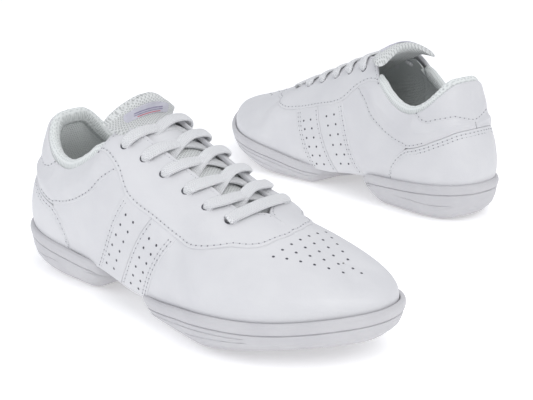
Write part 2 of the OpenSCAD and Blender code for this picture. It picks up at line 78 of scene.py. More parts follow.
def curve(table, s):
    """Smooth curve through the rows of a station table at the array s: all columns but the first."""
    rows = np.array(table, float)
    k, v = rows[:, 0], rows[:, 1:]
    m = np.zeros_like(v)
    m[0] = (v[1] - v[0]) / (k[1] - k[0])
    m[-1] = (v[-1] - v[-2]) / (k[-1] - k[-2])
    m[1:-1] = (v[2:] - v[:-2]) / (k[2:] - k[:-2])[:, None]
    s = np.asarray(s, float)
    i = np.clip(np.searchsorted(k, s, side="right") - 1, 0, len(k) - 2)
    h = (k[i + 1] - k[i])[..., None]
    u = np.clip((s - k[i]) / (k[i + 1] - k[i]), 0, 1)[..., None]
    return hermite(u, v[i], h * m[i], v[i + 1], h * m[i + 1])


def col(table, s, c=0):
    return curve(table, s)[..., c]


def angle_of(s):
    """Angle whose station() is s: equal steps of it crowd the stations at both ends of the shoe."""
    return np.arccos(np.clip(1 - 2 * np.asarray(s, float), -1, 1))


def station(a):
    return (1 - np.cos(np.clip(a, 0, math.pi))) / 2


def smooth(u):
    """Soft step from 0 to 1."""
    u = np.clip(u, 0, 1)
    return u * u * (3 - 2 * u)


def unit(v):
    return v / np.maximum(np.linalg.norm(v, axis=-1, keepdims=True), 1e-12)


def distance_along(p):
    """Distance of each point of a line of points from its start."""
    return np.concatenate([[0], np.cumsum(np.linalg.norm(np.diff(p, axis=0), axis=-1))])


def plan(s, side):
    """Plan outline of the last at station s."""
    s = np.asarray(s, float)
    w = col(MID, s) + side * col(HALF, s) * np.maximum(0, 4 * s * (1 - s))**END_ROUND
    return np.stack([LENGTH * (s - .5), w], -1)


def plan_normal(s, side):
    """Outward normal of the plan outline."""
    s = np.asarray(s, float)
    a = angle_of(s)
    d = plan(station(a + .005), side) - plan(station(a - .005), side)
    n = np.stack([-d[..., 1], d[..., 0]], -1) * np.asarray(side)[..., None]
    n /= np.maximum(np.linalg.norm(n, axis=-1, keepdims=True), 1e-9)
    n = np.where((s < 1e-4)[..., None], [-1.0, 0.0], n)
    return np.where((s > .9999)[..., None], [1.0, 0.0], n)


def skin_raw(s, t, side):
    """Point of the skin at station s, from the foot line (t = 0) to the top line (t = 1)."""
    b, n, h, p = plan(s, side), plan_normal(s, side), curve(HAND, s), curve(TOP, s)
    ahead, behind = curve(TOP, np.minimum(1, s + .001)), curve(TOP, s - .001)
    slope = np.where(s <= RIDGE, 0, (behind[..., 2] - ahead[..., 2])
                     / np.maximum(1e-6, ahead[..., 0] - behind[..., 0]))
    p0 = np.concatenate([b, col(FEATHER, s)[..., None]], -1)
    p3 = np.stack([p[..., 0], col(TOPMID, s) + side * np.maximum(0, p[..., 1]), p[..., 2]], -1)
    p1 = p0 + np.stack([n[..., 0] * h[..., 0], n[..., 1] * h[..., 0], h[..., 1]], -1)
    p2 = p3 + np.stack([n[..., 0] * h[..., 2], n[..., 1] * h[..., 2],
                        -h[..., 3] - slope * n[..., 0] * h[..., 2]], -1)
    t = t[..., None]
    return (1 - t)**3 * p0 + 3 * (1 - t)**2 * t * p1 + 3 * (1 - t) * t * t * p2 + t**3 * p3


def skin_normal_raw(s, t, side):
    a = angle_of(s)
    ds = skin_raw(station(a + .005), t, side) - skin_raw(station(a - .005), t, side)
    dt = skin_raw(s, np.minimum(1, t + .004), side) - skin_raw(s, np.maximum(0, t - .004), side)
    n = np.cross(dt, ds) * side[..., None]
    return n / np.maximum(np.linalg.norm(n, axis=-1, keepdims=True), 1e-9)


def skin(s, t, side):
    """Points and outward normals of the skin of the shoe."""
    s, t, side = (np.array(v, float) for v in np.broadcast_arrays(s, t, side))
    p, n = skin_raw(s, t, side), skin_normal_raw(s, t, side)
    seam = (s < 1e-4) | (s > .9999) | ((t > .9999) & (s >= RIDGE))
    both = skin_normal_raw(s, t, np.ones_like(s)) + skin_normal_raw(s, t, -np.ones_like(s))
    both /= np.maximum(np.linalg.norm(both, axis=-1, keepdims=True), 1e-9)
    return p, np.where(seam[..., None], both, n)


def to_row(p, shoe):
    """Shoe frame (x, w, z) in mm to the row frame in metres."""
    p = np.asarray(p, float)
    x, w, z = p[..., 0], p[..., 1], p[..., 2]
    if shoe == "right":
        out = np.stack([x, -w, z], -1)
    else:
        c, k = math.cos(LEFT_YAW), math.sin(LEFT_YAW)
        out = np.stack([x * c - w * k + LEFT_AT[0], x * k + w * c + LEFT_AT[1], z], -1)
    return out * MM


# ---- seams, in s and t, as in the CAD model
EYE_LOW = [[.322, 1], [.334, .94], [.352, .83], [.375, .74], [.399, .676], [.435, .58], [.526, .56],
           [.607, .535], [.65, .53], [.70, .59], [.743, .655], [.765, .73], [.78, .85], [.80, .99]]
COLLAR_LOW = [[0, .58], [.02, .565], [.05, .535], [.103, .505], [.164, .50], [.179, .535], [.24, .60],
              [.285, .635], [.328, .635], [.37, .64], [.399, .676]]
COUNTER_TOP = [[0, .58], [.02, .565], [.05, .535], [.103, .505], [.164, .497], [.18, .46], [.194, .40],
               [.206, .31], [.213, .17], [.216, 0]]
TAB_LOW = [[0, .64], [.008, .655], [.03, .69], [.055, .70], [.108, .75], [.142, .85], [.160, .93],
           [.172, .99]]
STRIPE_FRONT, STRIPE_MID, STRIPE_REAR = (.498, .607), (.402, .526), (.305, .435)


def along(table, s):
    rows = np.array(table, float)
    return np.interp(s, rows[:, 0], rows[:, 1])


# ---- meshes
def mesh_object(name, shoe, verts, faces, mats, face_mat=None, uv=None, smooth_angle=None,
                weld=False):
    """Object from points in the shoe frame (mm). uv is per vertex, in mm."""
    me = bpy.data.meshes.new(name)
    me.from_pydata(to_row(verts, shoe).tolist(), [], [list(map(int, f)) for f in faces])
    for m in mats:
        me.materials.append(m)
    if face_mat is not None:
        me.polygons.foreach_set("material_index", np.asarray(face_mat, np.int32))
    if uv is not None:
        loops = np.zeros(len(me.loops), np.int32)
        me.loops.foreach_get("vertex_index", loops)
        layer = me.uv_layers.new(name="mm")
        layer.data.foreach_set("uv", np.asarray(uv, np.float32)[loops].ravel())
    bm = bmesh.new()
    bm.from_mesh(me)
    if weld:
        bmesh.ops.remove_doubles(bm, verts=bm.verts, dist=2e-6)
        bmesh.ops.dissolve_degenerate(bm, edges=bm.edges, dist=1e-7)
    bmesh.ops.recalc_face_normals(bm, faces=bm.faces)
    for f in bm.faces:
        f.smooth = True
    if smooth_angle:
        for e in bm.edges:
            e.smooth = not (len(e.link_faces) == 2 and e.calc_face_angle(0) > smooth_angle)
    bm.to_mesh(me)
    bm.free()
    ob = bpy.data.objects.new(name, me)
    bpy.context.scene.collection.objects.link(ob)
    return ob


def grid_quads(n, m, start=0, wrap=False):
    """Faces of n rows of m points; wrap joins the last point of each row to the first."""
    i, j = np.meshgrid(np.arange(n - 1), np.arange(m if wrap else m - 1), indexing="ij")
    a, b = i * m + j, i * m + (j + 1) % m
    c, d = (i + 1) * m + (j + 1) % m, (i + 1) * m + j
    return (np.stack([a, b, c, d], -1).reshape(-1, 4) + start).tolist()


def slab_faces(n, m):
    """Faces of a closed slab whose two skins are n by m grids, one after the other in the points."""
    o = n * m
    top = grid_quads(n, m)
    out = top + [[q + o for q in reversed(f)] for f in top]
    rim = ([i * m for i in range(n)] + [(n - 1) * m + j for j in range(1, m)]
           + [i * m + m - 1 for i in range(n - 2, -1, -1)] + [j for j in range(m - 2, 0, -1)])
    for k, a in enumerate(rim):
        b = rim[(k + 1) % len(rim)]
        out.append([a, a + o, b + o, b])
    return out


def capped_faces(n, m):
    """Faces of a closed tube of n rings of m points."""
    return grid_quads(n, m, wrap=True) + [list(range(m)), list(range((n - 1) * m, n * m))]


def slab(name, shoe, top, low, mats, uv=None, **more):
    """Closed slab between two grids of points; uv is that of one grid."""
    pts = np.concatenate([top.reshape(-1, 3), low.reshape(-1, 3)])
    if uv is not None:
        uv = np.concatenate([uv, uv])
    return mesh_object(name, shoe, pts, slab_faces(*top.shape[:2]), mats, uv=uv, **more)


# Distances in mm from a panel's edge at which it has rows of points
EDGE_ROWS = np.array([0, .08, .25, .5, .85, 1.2, 1.55, 1.9, 2.25, 2.7, 3.4, 4.4])


def fractions(length, a, b, n_mid):
    """EDGE_ROWS from both ends and n_mid rows between, as fractions of the length.

    a and b are the sines of the angles at the ends.
    """
    length = np.atleast_1d(length)[:, None]
    lo, hi = EDGE_ROWS / np.atleast_1d(a)[:, None], EDGE_ROWS[::-1] / np.atleast_1d(b)[:, None]
    k = np.minimum(1, .8 * length / (lo[:, -1:] + hi[:, :1]))
    lo, hi = lo * k, length - hi * k
    m = np.linspace(0, 1, n_mid + 2)[1:-1]
    return np.concatenate([lo, lo[:, -1:] * (1 - m) + hi[:, :1] * m, hi], 1) / np.maximum(length, 1e-6)


def sine(a, b):
    """Sine of the angle between two directions, kept off zero."""
    return np.clip(np.linalg.norm(np.cross(unit(a), unit(b)), axis=-1), .4, 1)


def measure(path, k):
    """Lengths and end sines of the lines v = 0..1 at each k, for path(u, v)."""
    k = np.asarray(k, float)
    v = np.linspace(0, 1, 33)
    p, _ = skin(*path(k[:, None] + 0 * v, 0 * k[:, None] + v))
    step = np.linalg.norm(np.diff(p, axis=1), axis=-1)
    e0, e1 = np.gradient(p[:, 0], axis=0), np.gradient(p[:, -1], axis=0)
    return step.sum(1), sine(p[:, 1] - p[:, 0], e0), sine(p[:, -1] - p[:, -2], e1)


def flip(path):
    """The path with u and v exchanged."""
    return lambda u, v: path(v, u)


RAISED, TUCKED, JOINED = "raised", "tucked", "joined"
SEAM_AT = 2.0            # first stitch row from a raised edge
ROW_GAP = 2.0            # second row behind the first
STITCH_DIP = .22         # depth to which the thread pulls the leather in
DIP_WIDTH = .6           # half width of that valley


def waves(p):
    """Slow unevenness of hand-lasted leather, about +-1."""
    x, y, z = p[..., 0], p[..., 1], p[..., 2]
    return (np.sin(x * .21 + 1.3 * np.sin(z * .11)) * np.sin(y * .17 + .7)
            + .6 * np.sin(z * .29 + x * .13 + 2)
            + .5 * np.sin(x * .37 - y * .31 + z * .19)) / 2.1


def skin_height(d, out, bulge=0.0, grow=8.0):
    """Height of a panel's stitch valley at d from its edge."""
    return out + bulge * smooth(np.minimum(d / grow, 1)) - STITCH_DIP


def panel(name, shoe, path, mats, edges, out=0.0, inner=-1.8, step=2.4, bulge=0.0, radius=.8,
          rows=(1, 1, 1, 1), uneven=.16, weld=False, grow=8.0):
    """Leather panel on the skin, its face at out and its back at inner.

    path(u, v) gives s, t, side. edges and rows, the stitch rows, are for low v, high v, low u, high u.
    The face swells by bulge over grow mm from its free edges, and radius rounds its raised edges.
    """
    mid = measure(flip(path), [.4, .5, .6])[0][1:2]
    uu = fractions(mid, [1], [1], max(2, int(mid[0] / step)))[0]
    length, a, b = measure(path, uu)
    vv = fractions(length, a, b, max(2, int(length.max() / step)))
    ug = np.broadcast_to(uu[:, None], vv.shape)
    p, n = skin(*path(ug, vv))
    steps = np.linalg.norm(np.diff(p, axis=0), axis=-1)
    across = np.concatenate([np.zeros((1, vv.shape[1])), np.cumsum(steps, 0)])
    sa = sine(p[1] - p[0], np.gradient(p[0], axis=0))
    sb = sine(p[-1] - p[-2], np.gradient(p[-1], axis=0))
    dist = [vv * (length * a)[:, None], (1 - vv) * (length * b)[:, None], across * sa,
            (across[-1] - across) * sb]
    h = np.zeros(vv.shape)
    near = np.full(vv.shape, 99.0)
    for d, kind, count in zip(dist, edges, rows):
        if kind == RAISED:
            q = np.clip(radius - d, 0, radius)
            h = np.minimum(h, np.sqrt(np.maximum(0, radius**2 - q * q)) - radius)
            for r in range(count):
                h = h - STITCH_DIP * np.exp(-((d - SEAM_AT - r * ROW_GAP) / DIP_WIDTH)**2)
        if kind != JOINED:
            near = np.minimum(near, d)
    fade = smooth(near / grow)
    h = h + bulge * fade + uneven * fade * waves(p)
    top, low = p + n * (out + h)[..., None], p + n * inner
    uv = np.stack([across, vv * length[:, None]], -1).reshape(-1, 2)
    return slab(name, shoe, top, low, mats, uv, weld=weld)


def seam(path, edge, d, out, trim=(1.5, 1.5), bulge=0.0, grow=8.0):
    """Points and normals in a panel's stitch valley, d mm inside one of its edges."""
    out = skin_height(d, out, bulge, grow) + .04
    f = path if edge in ("low", "high") else flip(path)
    k = np.linspace(0, 1, 400)
    length, a, b = measure(f, k)
    v = d / (length * a) if edge in ("low", "start") else 1 - d / (length * b)
    p, n = skin(*f(k, v))
    return resample(p + n * out, n, trim)


def pick(q, c, rows):
    """Rows of three numbers given at the distances c, read at the distances q."""
    return np.stack([np.interp(q, c, rows[:, i]) for i in range(3)], -1)


def resample(p, n, trim, step=.4):
    """Points and normals at even steps, with trim mm left off each end."""
    c = distance_along(p)
    length = c[-1] - trim[0] - trim[1]
    if length < step * 3:
        return p[:0], n[:0]
    q = np.linspace(trim[0], c[-1] - trim[1], max(3, int(length / step)))
    return pick(q, c, p), unit(pick(q, c, n))


# ---- small repeated parts
def lathe(profile, segments):
    """Closed turned solid about z; profile runs from the axis to the axis."""
    pts, faces = [], []
    inside = profile[1:-1]
    a = np.arange(segments) * 2 * math.pi / segments
    for r, z in inside:
        pts += np.stack([r * np.cos(a), r * np.sin(a), np.full(segments, z)], -1).tolist()
    faces += grid_quads(len(inside), segments, wrap=True)
    pts += [[0, 0, profile[0][1]], [0, 0, profile[-1][1]]]
    t, b, last = len(pts) - 2, len(pts) - 1, (len(inside) - 1) * segments
    for k in range(segments):
        faces.append([t, (k + 1) % segments, k])
        faces.append([b, last + k, last + (k + 1) % segments])
    return np.array(pts), faces


def capsule(length, radius, height, rings=5, segments=8):
    """Stitch-shaped solid along x."""
    x = np.linspace(-1, 1, rings + 2)[1:-1]
    pts, faces = [[-length / 2, 0, 0]], []
    a = np.arange(segments) * 2 * math.pi / segments
    for q in x:
        r = math.sqrt(1 - abs(q)**3)
        ring = [np.full(segments, q * length / 2), radius * r * np.cos(a), height * r * np.sin(a)]
        pts += np.stack(ring, -1).tolist()
    pts.append([length / 2, 0, 0])
    faces = grid_quads(rings, segments, start=1, wrap=True)
    last = 1 + (rings - 1) * segments
    for k in range(segments):
        faces.append([0, 1 + k, 1 + (k + 1) % segments])
        faces.append([len(pts) - 1, last + (k + 1) % segments, last + k])
    return np.array(pts), faces


class Batch:
    """Many copies of small solids, gathered into one mesh."""

    def __init__(self):
        self.pts, self.faces, self.mat, self.n = [], [], [], 0

    def add(self, template, at, normal, tangent, mats=0):
        """mats: one material index, or one per face of the template."""
        pts, faces = template
        z = unit(normal)
        x = unit(tangent - z * (tangent * z).sum(-1, keepdims=True))
        y = np.cross(z, x)
        for k in range(len(at)):
            self.pts.append(at[k] + pts[:, :1] * x[k] + pts[:, 1:2] * y[k] + pts[:, 2:] * z[k])
            self.faces += [[v + self.n for v in f] for f in faces]
            self.mat += list(mats) if hasattr(mats, "__len__") else [mats] * len(faces)
            self.n += len(pts)

    def object(self, name, shoe, mats):
        return mesh_object(name, shoe, np.concatenate(self.pts), self.faces, mats, self.mat)


def tangents(p):
    return unit(np.gradient(p, axis=0))


def spline(p, step):
    """Centripetal Catmull-Rom curve through the points, about one point each step mm."""
    p = np.asarray(p, float)
    q = np.concatenate([[2 * p[0] - p[1]], p, [2 * p[-1] - p[-2]]])
    out = []
    for i in range(1, len(q) - 2):
        d = [max(1e-6, np.linalg.norm(q[i + k + 1, :3] - q[i + k, :3])**.5) for k in (-1, 0, 1)]
        m1 = (q[i] - q[i - 1]) / d[0] - (q[i + 1] - q[i - 1]) / (d[0] + d[1]) + (q[i + 1] - q[i]) / d[1]
        m2 = (q[i + 1] - q[i]) / d[1] - (q[i + 2] - q[i]) / (d[1] + d[2]) + (q[i + 2] - q[i + 1]) / d[2]
        m1, m2 = m1 * d[1], m2 * d[1]
        n = max(2, int(np.linalg.norm(q[i + 1, :3] - q[i, :3]) / step))
        for u in np.arange(n) / n:
            out.append(hermite(u, q[i], m1, q[i + 1], m2))
    return np.array(out + [p[-1]])


def oval(segments, power_x, power_y):
    """Section 2 by 2 whose corners fill out as the powers fall below 1."""
    a = (np.arange(segments) + .5) * 2 * math.pi / segments
    c, k = np.cos(a), np.sin(a)
    return np.sign(c) * np.abs(c)**power_x, np.sign(k) * np.abs(k)**power_y


def tube(name, shoe, path, up, half, mats, segments, power=2.0):
    """Closed tube with an oval section, squarer for a higher power.

    half is the half width and half thickness, one pair for each ring.
    """
    d = tangents(path)
    x = unit(np.cross(up, d))
    y = unit(np.cross(d, x))
    ex, ey = oval(segments, 2 / power, 2 / power)
    ex, ey = half[:, :1] * ex, half[:, 1:] * ey
    rings = path[:, None] + x[:, None] * ex[..., None] + y[:, None] * ey[..., None]
    uv = np.stack(np.broadcast_arrays(distance_along(path)[:, None], ex), -1).reshape(-1, 2)
    return mesh_object(name, shoe, rings.reshape(-1, 3), capped_faces(len(path), segments), mats, uv=uv)


# ---- materials
class Nodes:
    """Short way to write a node tree."""

    def __init__(self, name):
        self.mat = bpy.data.materials.new(name)
        self.mat.use_nodes = True
        self.tree = self.mat.node_tree
        self.bsdf = self.tree.nodes["Principled BSDF"]
        self.tc = self.tree.nodes.new("ShaderNodeTexCoord")
        self.at = self.tc.outputs["Object"]

    def put(self, socket, value):
        if isinstance(value, bpy.types.NodeSocket):
            self.tree.links.new(value, socket)
        else:
            socket.default_value = value

    def math(self, op, a, b=0.0, c=0.0):
        n = self.tree.nodes.new("ShaderNodeMath")
        n.operation = op
        for s, v in zip(n.inputs, (a, b, c)):
            self.put(s, v)
        return n.outputs[0]

    def noise(self, vector, scale, detail=2.0, rough=.5):
        n = self.tree.nodes.new("ShaderNodeTexNoise")
        self.put(n.inputs["Vector"], vector)
        n.inputs["Scale"].default_value = scale
        n.inputs["Detail"].default_value = detail
        n.inputs["Roughness"].default_value = rough
        return n.outputs["Fac"]

    def cells(self, vector, scale):
        n = self.tree.nodes.new("ShaderNodeTexVoronoi")
        n.feature = "SMOOTH_F1"
        self.put(n.inputs["Vector"], vector)
        n.inputs["Scale"].default_value = scale
        return n.outputs["Distance"]

    def ramp(self, value, low, high, a, b):
        n = self.tree.nodes.new("ShaderNodeMapRange")
        n.interpolation_type = "SMOOTHSTEP"
        for s, v in zip(n.inputs, (value, low, high, a, b)):
            self.put(s, v)
        return n.outputs[0]

    def mix(self, fac, a, b):
        n = self.tree.nodes.new("ShaderNodeMix")
        n.data_type = "RGBA"
        self.put(n.inputs[0], fac)
        n.inputs[6].default_value = (*a, 1)
        n.inputs[7].default_value = (*b, 1)
        return n.outputs[2]

    def bump(self, height, distance, strength=1.0, chain=None):
        n = self.tree.nodes.new("ShaderNodeBump")
        n.inputs["Strength"].default_value = strength
        n.inputs["Distance"].default_value = distance
        self.put(n.inputs["Height"], height)
        if chain is not None:
            self.put(n.inputs["Normal"], chain)
        return n.outputs[0]

    def spots(self, scale, detail, rough=.5, values=(0, 1)):
        """Soft spots that go between the two values."""
        return self.ramp(self.noise(self.at, scale, detail, rough), .3, .7, *values)

    def uv(self):
        n = self.tree.nodes.new("ShaderNodeSeparateXYZ")
        self.put(n.inputs[0], self.tc.outputs["UV"])
        return n.outputs[0], n.outputs[1]

    def finish(self, color, rough, normal, **more):
        self.put(self.bsdf.inputs["Base Color"], color)
        self.put(self.bsdf.inputs["Roughness"], rough)
        self.put(self.bsdf.inputs["Normal"], normal)
        for k, v in more.items():
            self.put(self.bsdf.inputs[k.replace("_", " ")], v)
        return self.mat


def leather_material(name, light, dark, grain=1.0):
    m = Nodes(name)
    pebble = m.math("MULTIPLY", m.cells(m.at, 1150), .75)
    fine = m.math("MULTIPLY", m.noise(m.at, 2600, 3), .35)
    n = m.bump(m.noise(m.at, 120, 2), .0009, .22)
    n = m.bump(m.math("ADD", pebble, fine), .00012 * grain, .55, n)
    return m.finish(m.mix(m.spots(38, 3, .6), light, dark), m.spots(160, 3, values=(.40, .50)), n,
                    Coat_Weight=.06, Coat_Roughness=.35)


def rubber_material(name, light, dark):
    m = Nodes(name)
    return m.finish(m.mix(m.spots(45, 4, .6), light, dark), m.spots(220, 3, values=(.46, .60)),
                    m.bump(m.noise(m.at, 1400, 3), .0001, .35))


def knit_material(name, light, dark, pitch, depth, hole=.0):
    """Warp knit: staggered rows of small loops, with holes between them for a spacer mesh; the gaps between
    the loops get the dark colour as painted shade.
    """
    m = Nodes(name)
    u, v = m.uv()
    v = m.math("DIVIDE", v, pitch * .87)
    shift = m.math("MULTIPLY", m.math("MODULO", m.math("FLOOR", v), 2.0), pitch * .5)
    u = m.math("DIVIDE", m.math("ADD", m.math("ADD", u, 1000.0), shift), pitch)
    fu, fv = [m.math("SUBTRACT", m.math("FRACT", q), .5) for q in (u, v)]
    r = m.math("ADD", m.math("MULTIPLY", fu, fu), m.math("MULTIPLY", m.math("MULTIPLY", fv, fv), .8))
    loop = m.ramp(m.math("SQRT", r), .12 + hole, .36 + hole * .5, 0.0, 1.0)
    fuzz = m.noise(m.at, 3500, 2)
    h = m.math("ADD", loop, m.math("MULTIPLY", fuzz, .35))
    # Painted shade: dark in the gaps where the loop height is low, with random tone from the fuzz.
    shade_and_tone = m.math("MULTIPLY", loop, m.ramp(fuzz, .2, .8, .75, 1))
    return m.finish(m.mix(shade_and_tone, dark, light), .85, m.bump(h, depth, .8), Sheen_Weight=.25, Sheen_Roughness=.6)


def lace_material(name, light, dark):
    m = Nodes(name)
    u, v = m.uv()
    slant = m.math("MULTIPLY", m.math("PINGPONG", v, 1.75), .9)
    rib = m.math("SINE", m.math("MULTIPLY", m.math("ADD", u, slant), 2 * math.pi / 1.15))
    cord = m.math("SINE", m.math("MULTIPLY", v, 2 * math.pi / .9))
    h = m.math("ADD", m.math("MULTIPLY", rib, .5), m.math("MULTIPLY", cord, .35))
    # Painted shade: the colour follows the height of the weave, dark in the grooves, with random tone from
    # the noise.
    shade_and_tone = m.math("ADD", h, m.math("MULTIPLY", m.noise(m.at, 3000, 2), .6))
    return m.finish(m.mix(m.ramp(shade_and_tone, -.75, .7, 0, 1), dark, light), .78, m.bump(h, .0004, .8),
                    Sheen_Weight=.3, Sheen_Roughness=.5)


def satin_material(name, light, dark):
    m = Nodes(name)
    u, v = m.uv()
    weft = m.math("SINE", m.math("MULTIPLY", v, 2 * math.pi / .42))
    warp = m.math("SINE", m.math("MULTIPLY", u, 2 * math.pi / .9))
    h = m.math("ADD", m.math("MULTIPLY", weft, .6), m.math("MULTIPLY", warp, .2))
    return m.finish(m.mix(m.spots(220, 3), light, dark), .42, m.bump(h, .00006, .5),
                    Sheen_Weight=.3, Anisotropic=.4)


def plain_material(name, light, dark, rough, scale=600, depth=.00015):
    m = Nodes(name)
    f = m.noise(m.at, scale, 4)
    return m.finish(m.mix(m.ramp(f, .35, .65, 0, 1), light, dark), rough, m.bump(f, depth, .6))


LEATHER = leather_material("white leather", (.665, .665, .68), (.635, .635, .654))
EDGE = leather_material("collar leather", (.655, .655, .67), (.62, .62, .64), 1.2)
MIDSOLE = rubber_material("moulded midsole", (.555, .55, .565), (.525, .52, .54))
TREAD = rubber_material("tread rubber", (.56, .55, .565), (.52, .51, .53))
# Knits: the darker colour is painted shade in the gaps between the loops, with some random tone.
LINING = knit_material("knit lining", (.75, .775, .765), (.60, .63, .62), 1.5, .00035)
SPACER = knit_material("spacer mesh", (.72, .735, .73), (.46, .475, .47), 1.7, .0005, .05)
SOCK = knit_material("sock cover", (.72, .745, .74), (.60, .63, .62), 1.1, .0002)
# Lace: the darker colour is painted shade in the grooves of the weave.
LACE = lace_material("flat lace", (.85, .855, .865), (.62, .63, .65))
THREAD = plain_material("thread", (.66, .665, .685), (.52, .525, .55), .7, 2500, .0001)
# Dark disc at each end of a stitch: painted shade for the hole that the needle made.
NEEDLE_SHADE = plain_material("painted needle hole shade", (.27, .27, .29), (.20, .20, .22), .9)
# Dark disc in each perforation and eyelet: painted shade standing in for the inside of the hole.
HOLE_SHADE = plain_material("painted perforation shade", (.10, .10, .115), (.06, .06, .075), .9)
LABEL = satin_material("label satin", (.58, .575, .645), (.51, .505, .575))
MARK = plain_material("label mark", (.33, .31, .42), (.26, .24, .35), .5)
MARK_RED = plain_material("label line", (.62, .07, .09), (.50, .05, .07), .5)
BOARD = plain_material("fibre board", (.50, .43, .33), (.42, .36, .27), .8)


def front(ob, shoe, slot, node=None):
    """Put a piece on the forefoot; slot is not used; node is the CAD node that it replaces."""
    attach(ob, f"{shoe}_forefoot")
    filed(shoe, node)


def rear(ob, shoe, slot, node=None):
    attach(ob, f"{shoe}_rearfoot")
    filed(shoe, node)


def on_tip(ob, shoe, node=None):
    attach(ob, f"{shoe}_tongue_tip")
    filed(shoe, node)


def bending(ob, shoe, node=None):
    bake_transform(ob)
    filed(shoe, node)


def filed(shoe, node):
    if node:
        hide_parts(f"{shoe}_{node}")


def poly(rows):
    """Smooth curve through [s, t] rows, as a function of u from 0 to 1."""
    size = [LENGTH, 75]      # s and t in about equal mm
    pts = spline(np.array(rows, float) * size, .5) / size
    c = distance_along(pts * size)
    c /= c[-1]
    return lambda u: (np.interp(u, c, pts[:, 0]), np.interp(u, c, pts[:, 1]))


EYE = poly(EYE_LOW[:-1] + [[.795, .95], [.798, 1.0]])
EYE_PTS = np.stack(EYE(np.linspace(0, 1, 500)), -1)


def eye_low(s):
    return np.interp(s, EYE_PTS[:, 0], EYE_PTS[:, 1])


def eyestay_path(side):
    """u along the lower edge from rear to front, v up to the throat."""
    def path(u, v):
        s, t = EYE(u)
        s1 = .329 + (.752 - .329) * np.where(u < .001, 0, u)
        return s + (s1 - s) * v, np.minimum(1, t + (1 - t) * v), side + 0 * u * v
    return path


def vamp_path(side):
    """u from the front stripe to the toe, v from the sole to the eyestay or the ridge."""
    s0, s1 = STRIPE_FRONT[0] - .006, STRIPE_FRONT[1] - .006

    def path(u, v):
        a = np.interp(u, [0, .42, 1], [angle_of(s0), angle_of(.775), math.pi])
        low = station(a)
        high = np.where(u > .42, low, np.interp(u, [0, .38, .42], [s1, .762, .775]))
        reach = np.minimum(1, eye_low(high) + .035)
        t = reach + (1 - reach) * smooth((u - .22) / .18)
        return low + (high - low) * v, t * v, side + 0 * u * v
    return path


def stripe_path(a, b, side):
    """Band between the lines a and b, each with its station at the sole and at the eyestay."""
    def path(u, v):
        bottom = a[0] + (b[0] - a[0]) * u
        top = a[1] + (b[1] - a[1]) * u
        return bottom + (top - bottom) * v, (eye_low(top) + .02) * v, side + 0 * u * v
    return path


QUARTER_TOP = poly([[.168, .478], [.20, .535], [.252, .585], [.30, .615], [.352, .615], [.399, .650],
                    [.442, .56]])


def quarter_path(side):
    def path(u, v):
        s1, t1 = QUARTER_TOP(u)
        s0 = .205 + (STRIPE_REAR[0] + .008 - .205) * u
        return s0 + (s1 - s0) * v, (t1 + .05) * v, side + 0 * u * v
    return path


def collar_path(side):
    a0, a1 = angle_of(.00004), angle_of(.397)

    def path(u, v):
        s = station(a0 + (a1 - a0) * u)
        under_eyestay = np.minimum(1, eye_low(s) + .03)
        top = np.where(s < .172, along(TAB_LOW, s) + .02, np.where(s < .3225, 1, under_eyestay))
        low = along(COLLAR_LOW, s)
        return s + 0 * v, low + (np.maximum(top, low + .01) - low) * v, side + 0 * u * v
    return path


def back_path(s_end, low, high):
    """Round the heel from side to side, between the heights low(s) and high(s)."""
    a_end = angle_of(s_end)

    def path(u, v):
        k = 2 * u - 1
        s = station(a_end * np.abs(k))
        return s + 0 * v, low(s) + (high(s) - low(s)) * v, np.where(k < 0, -1.0, 1.0) + 0 * v
    return path


STITCH_PITCH = 3.4
# Turned profiles: radius and height, from the top of the axis round to its foot
STITCH = capsule(2.3, .30, .17)
# Disc at each end of a stitch, all in the dark material: painted shade for the hole of the needle.
NEEDLE_SHADE_DISC = lathe([(0, .05), (.22, .05), (.42, .06), (.5, .0), (.5, -.2), (0, -.2)], 10)


def stitch_line(batch, p, n):
    """Thread lengths with a dark disc at each end, painted shade for the hole of the needle."""
    if len(p) < 4:
        return
    c = distance_along(p)
    count = int(c[-1] / STITCH_PITCH)
    at = np.arange(count + 1) * (c[-1] / max(count, 1))
    mid = (at[1:] + at[:-1]) / 2
    for template, q, material in ((STITCH, mid, 0), (NEEDLE_SHADE_DISC, at, 1)):
        batch.add(template, pick(q, c, p), pick(q, c, n), pick(q, c, tangents(p)), material)


# ---- uppers
EYE_S = [.688, .630, .571, .512, .457, .402]
EYE_T = .862
EYESTAY_LIFT, STRIPE_LIFT, COUNTER_LIFT, TAB_LIFT, COLLAR_LIFT = .9, .4, .5, .5, .3
BAND_BULGE, COLLAR_BULGE = .15, 2.0


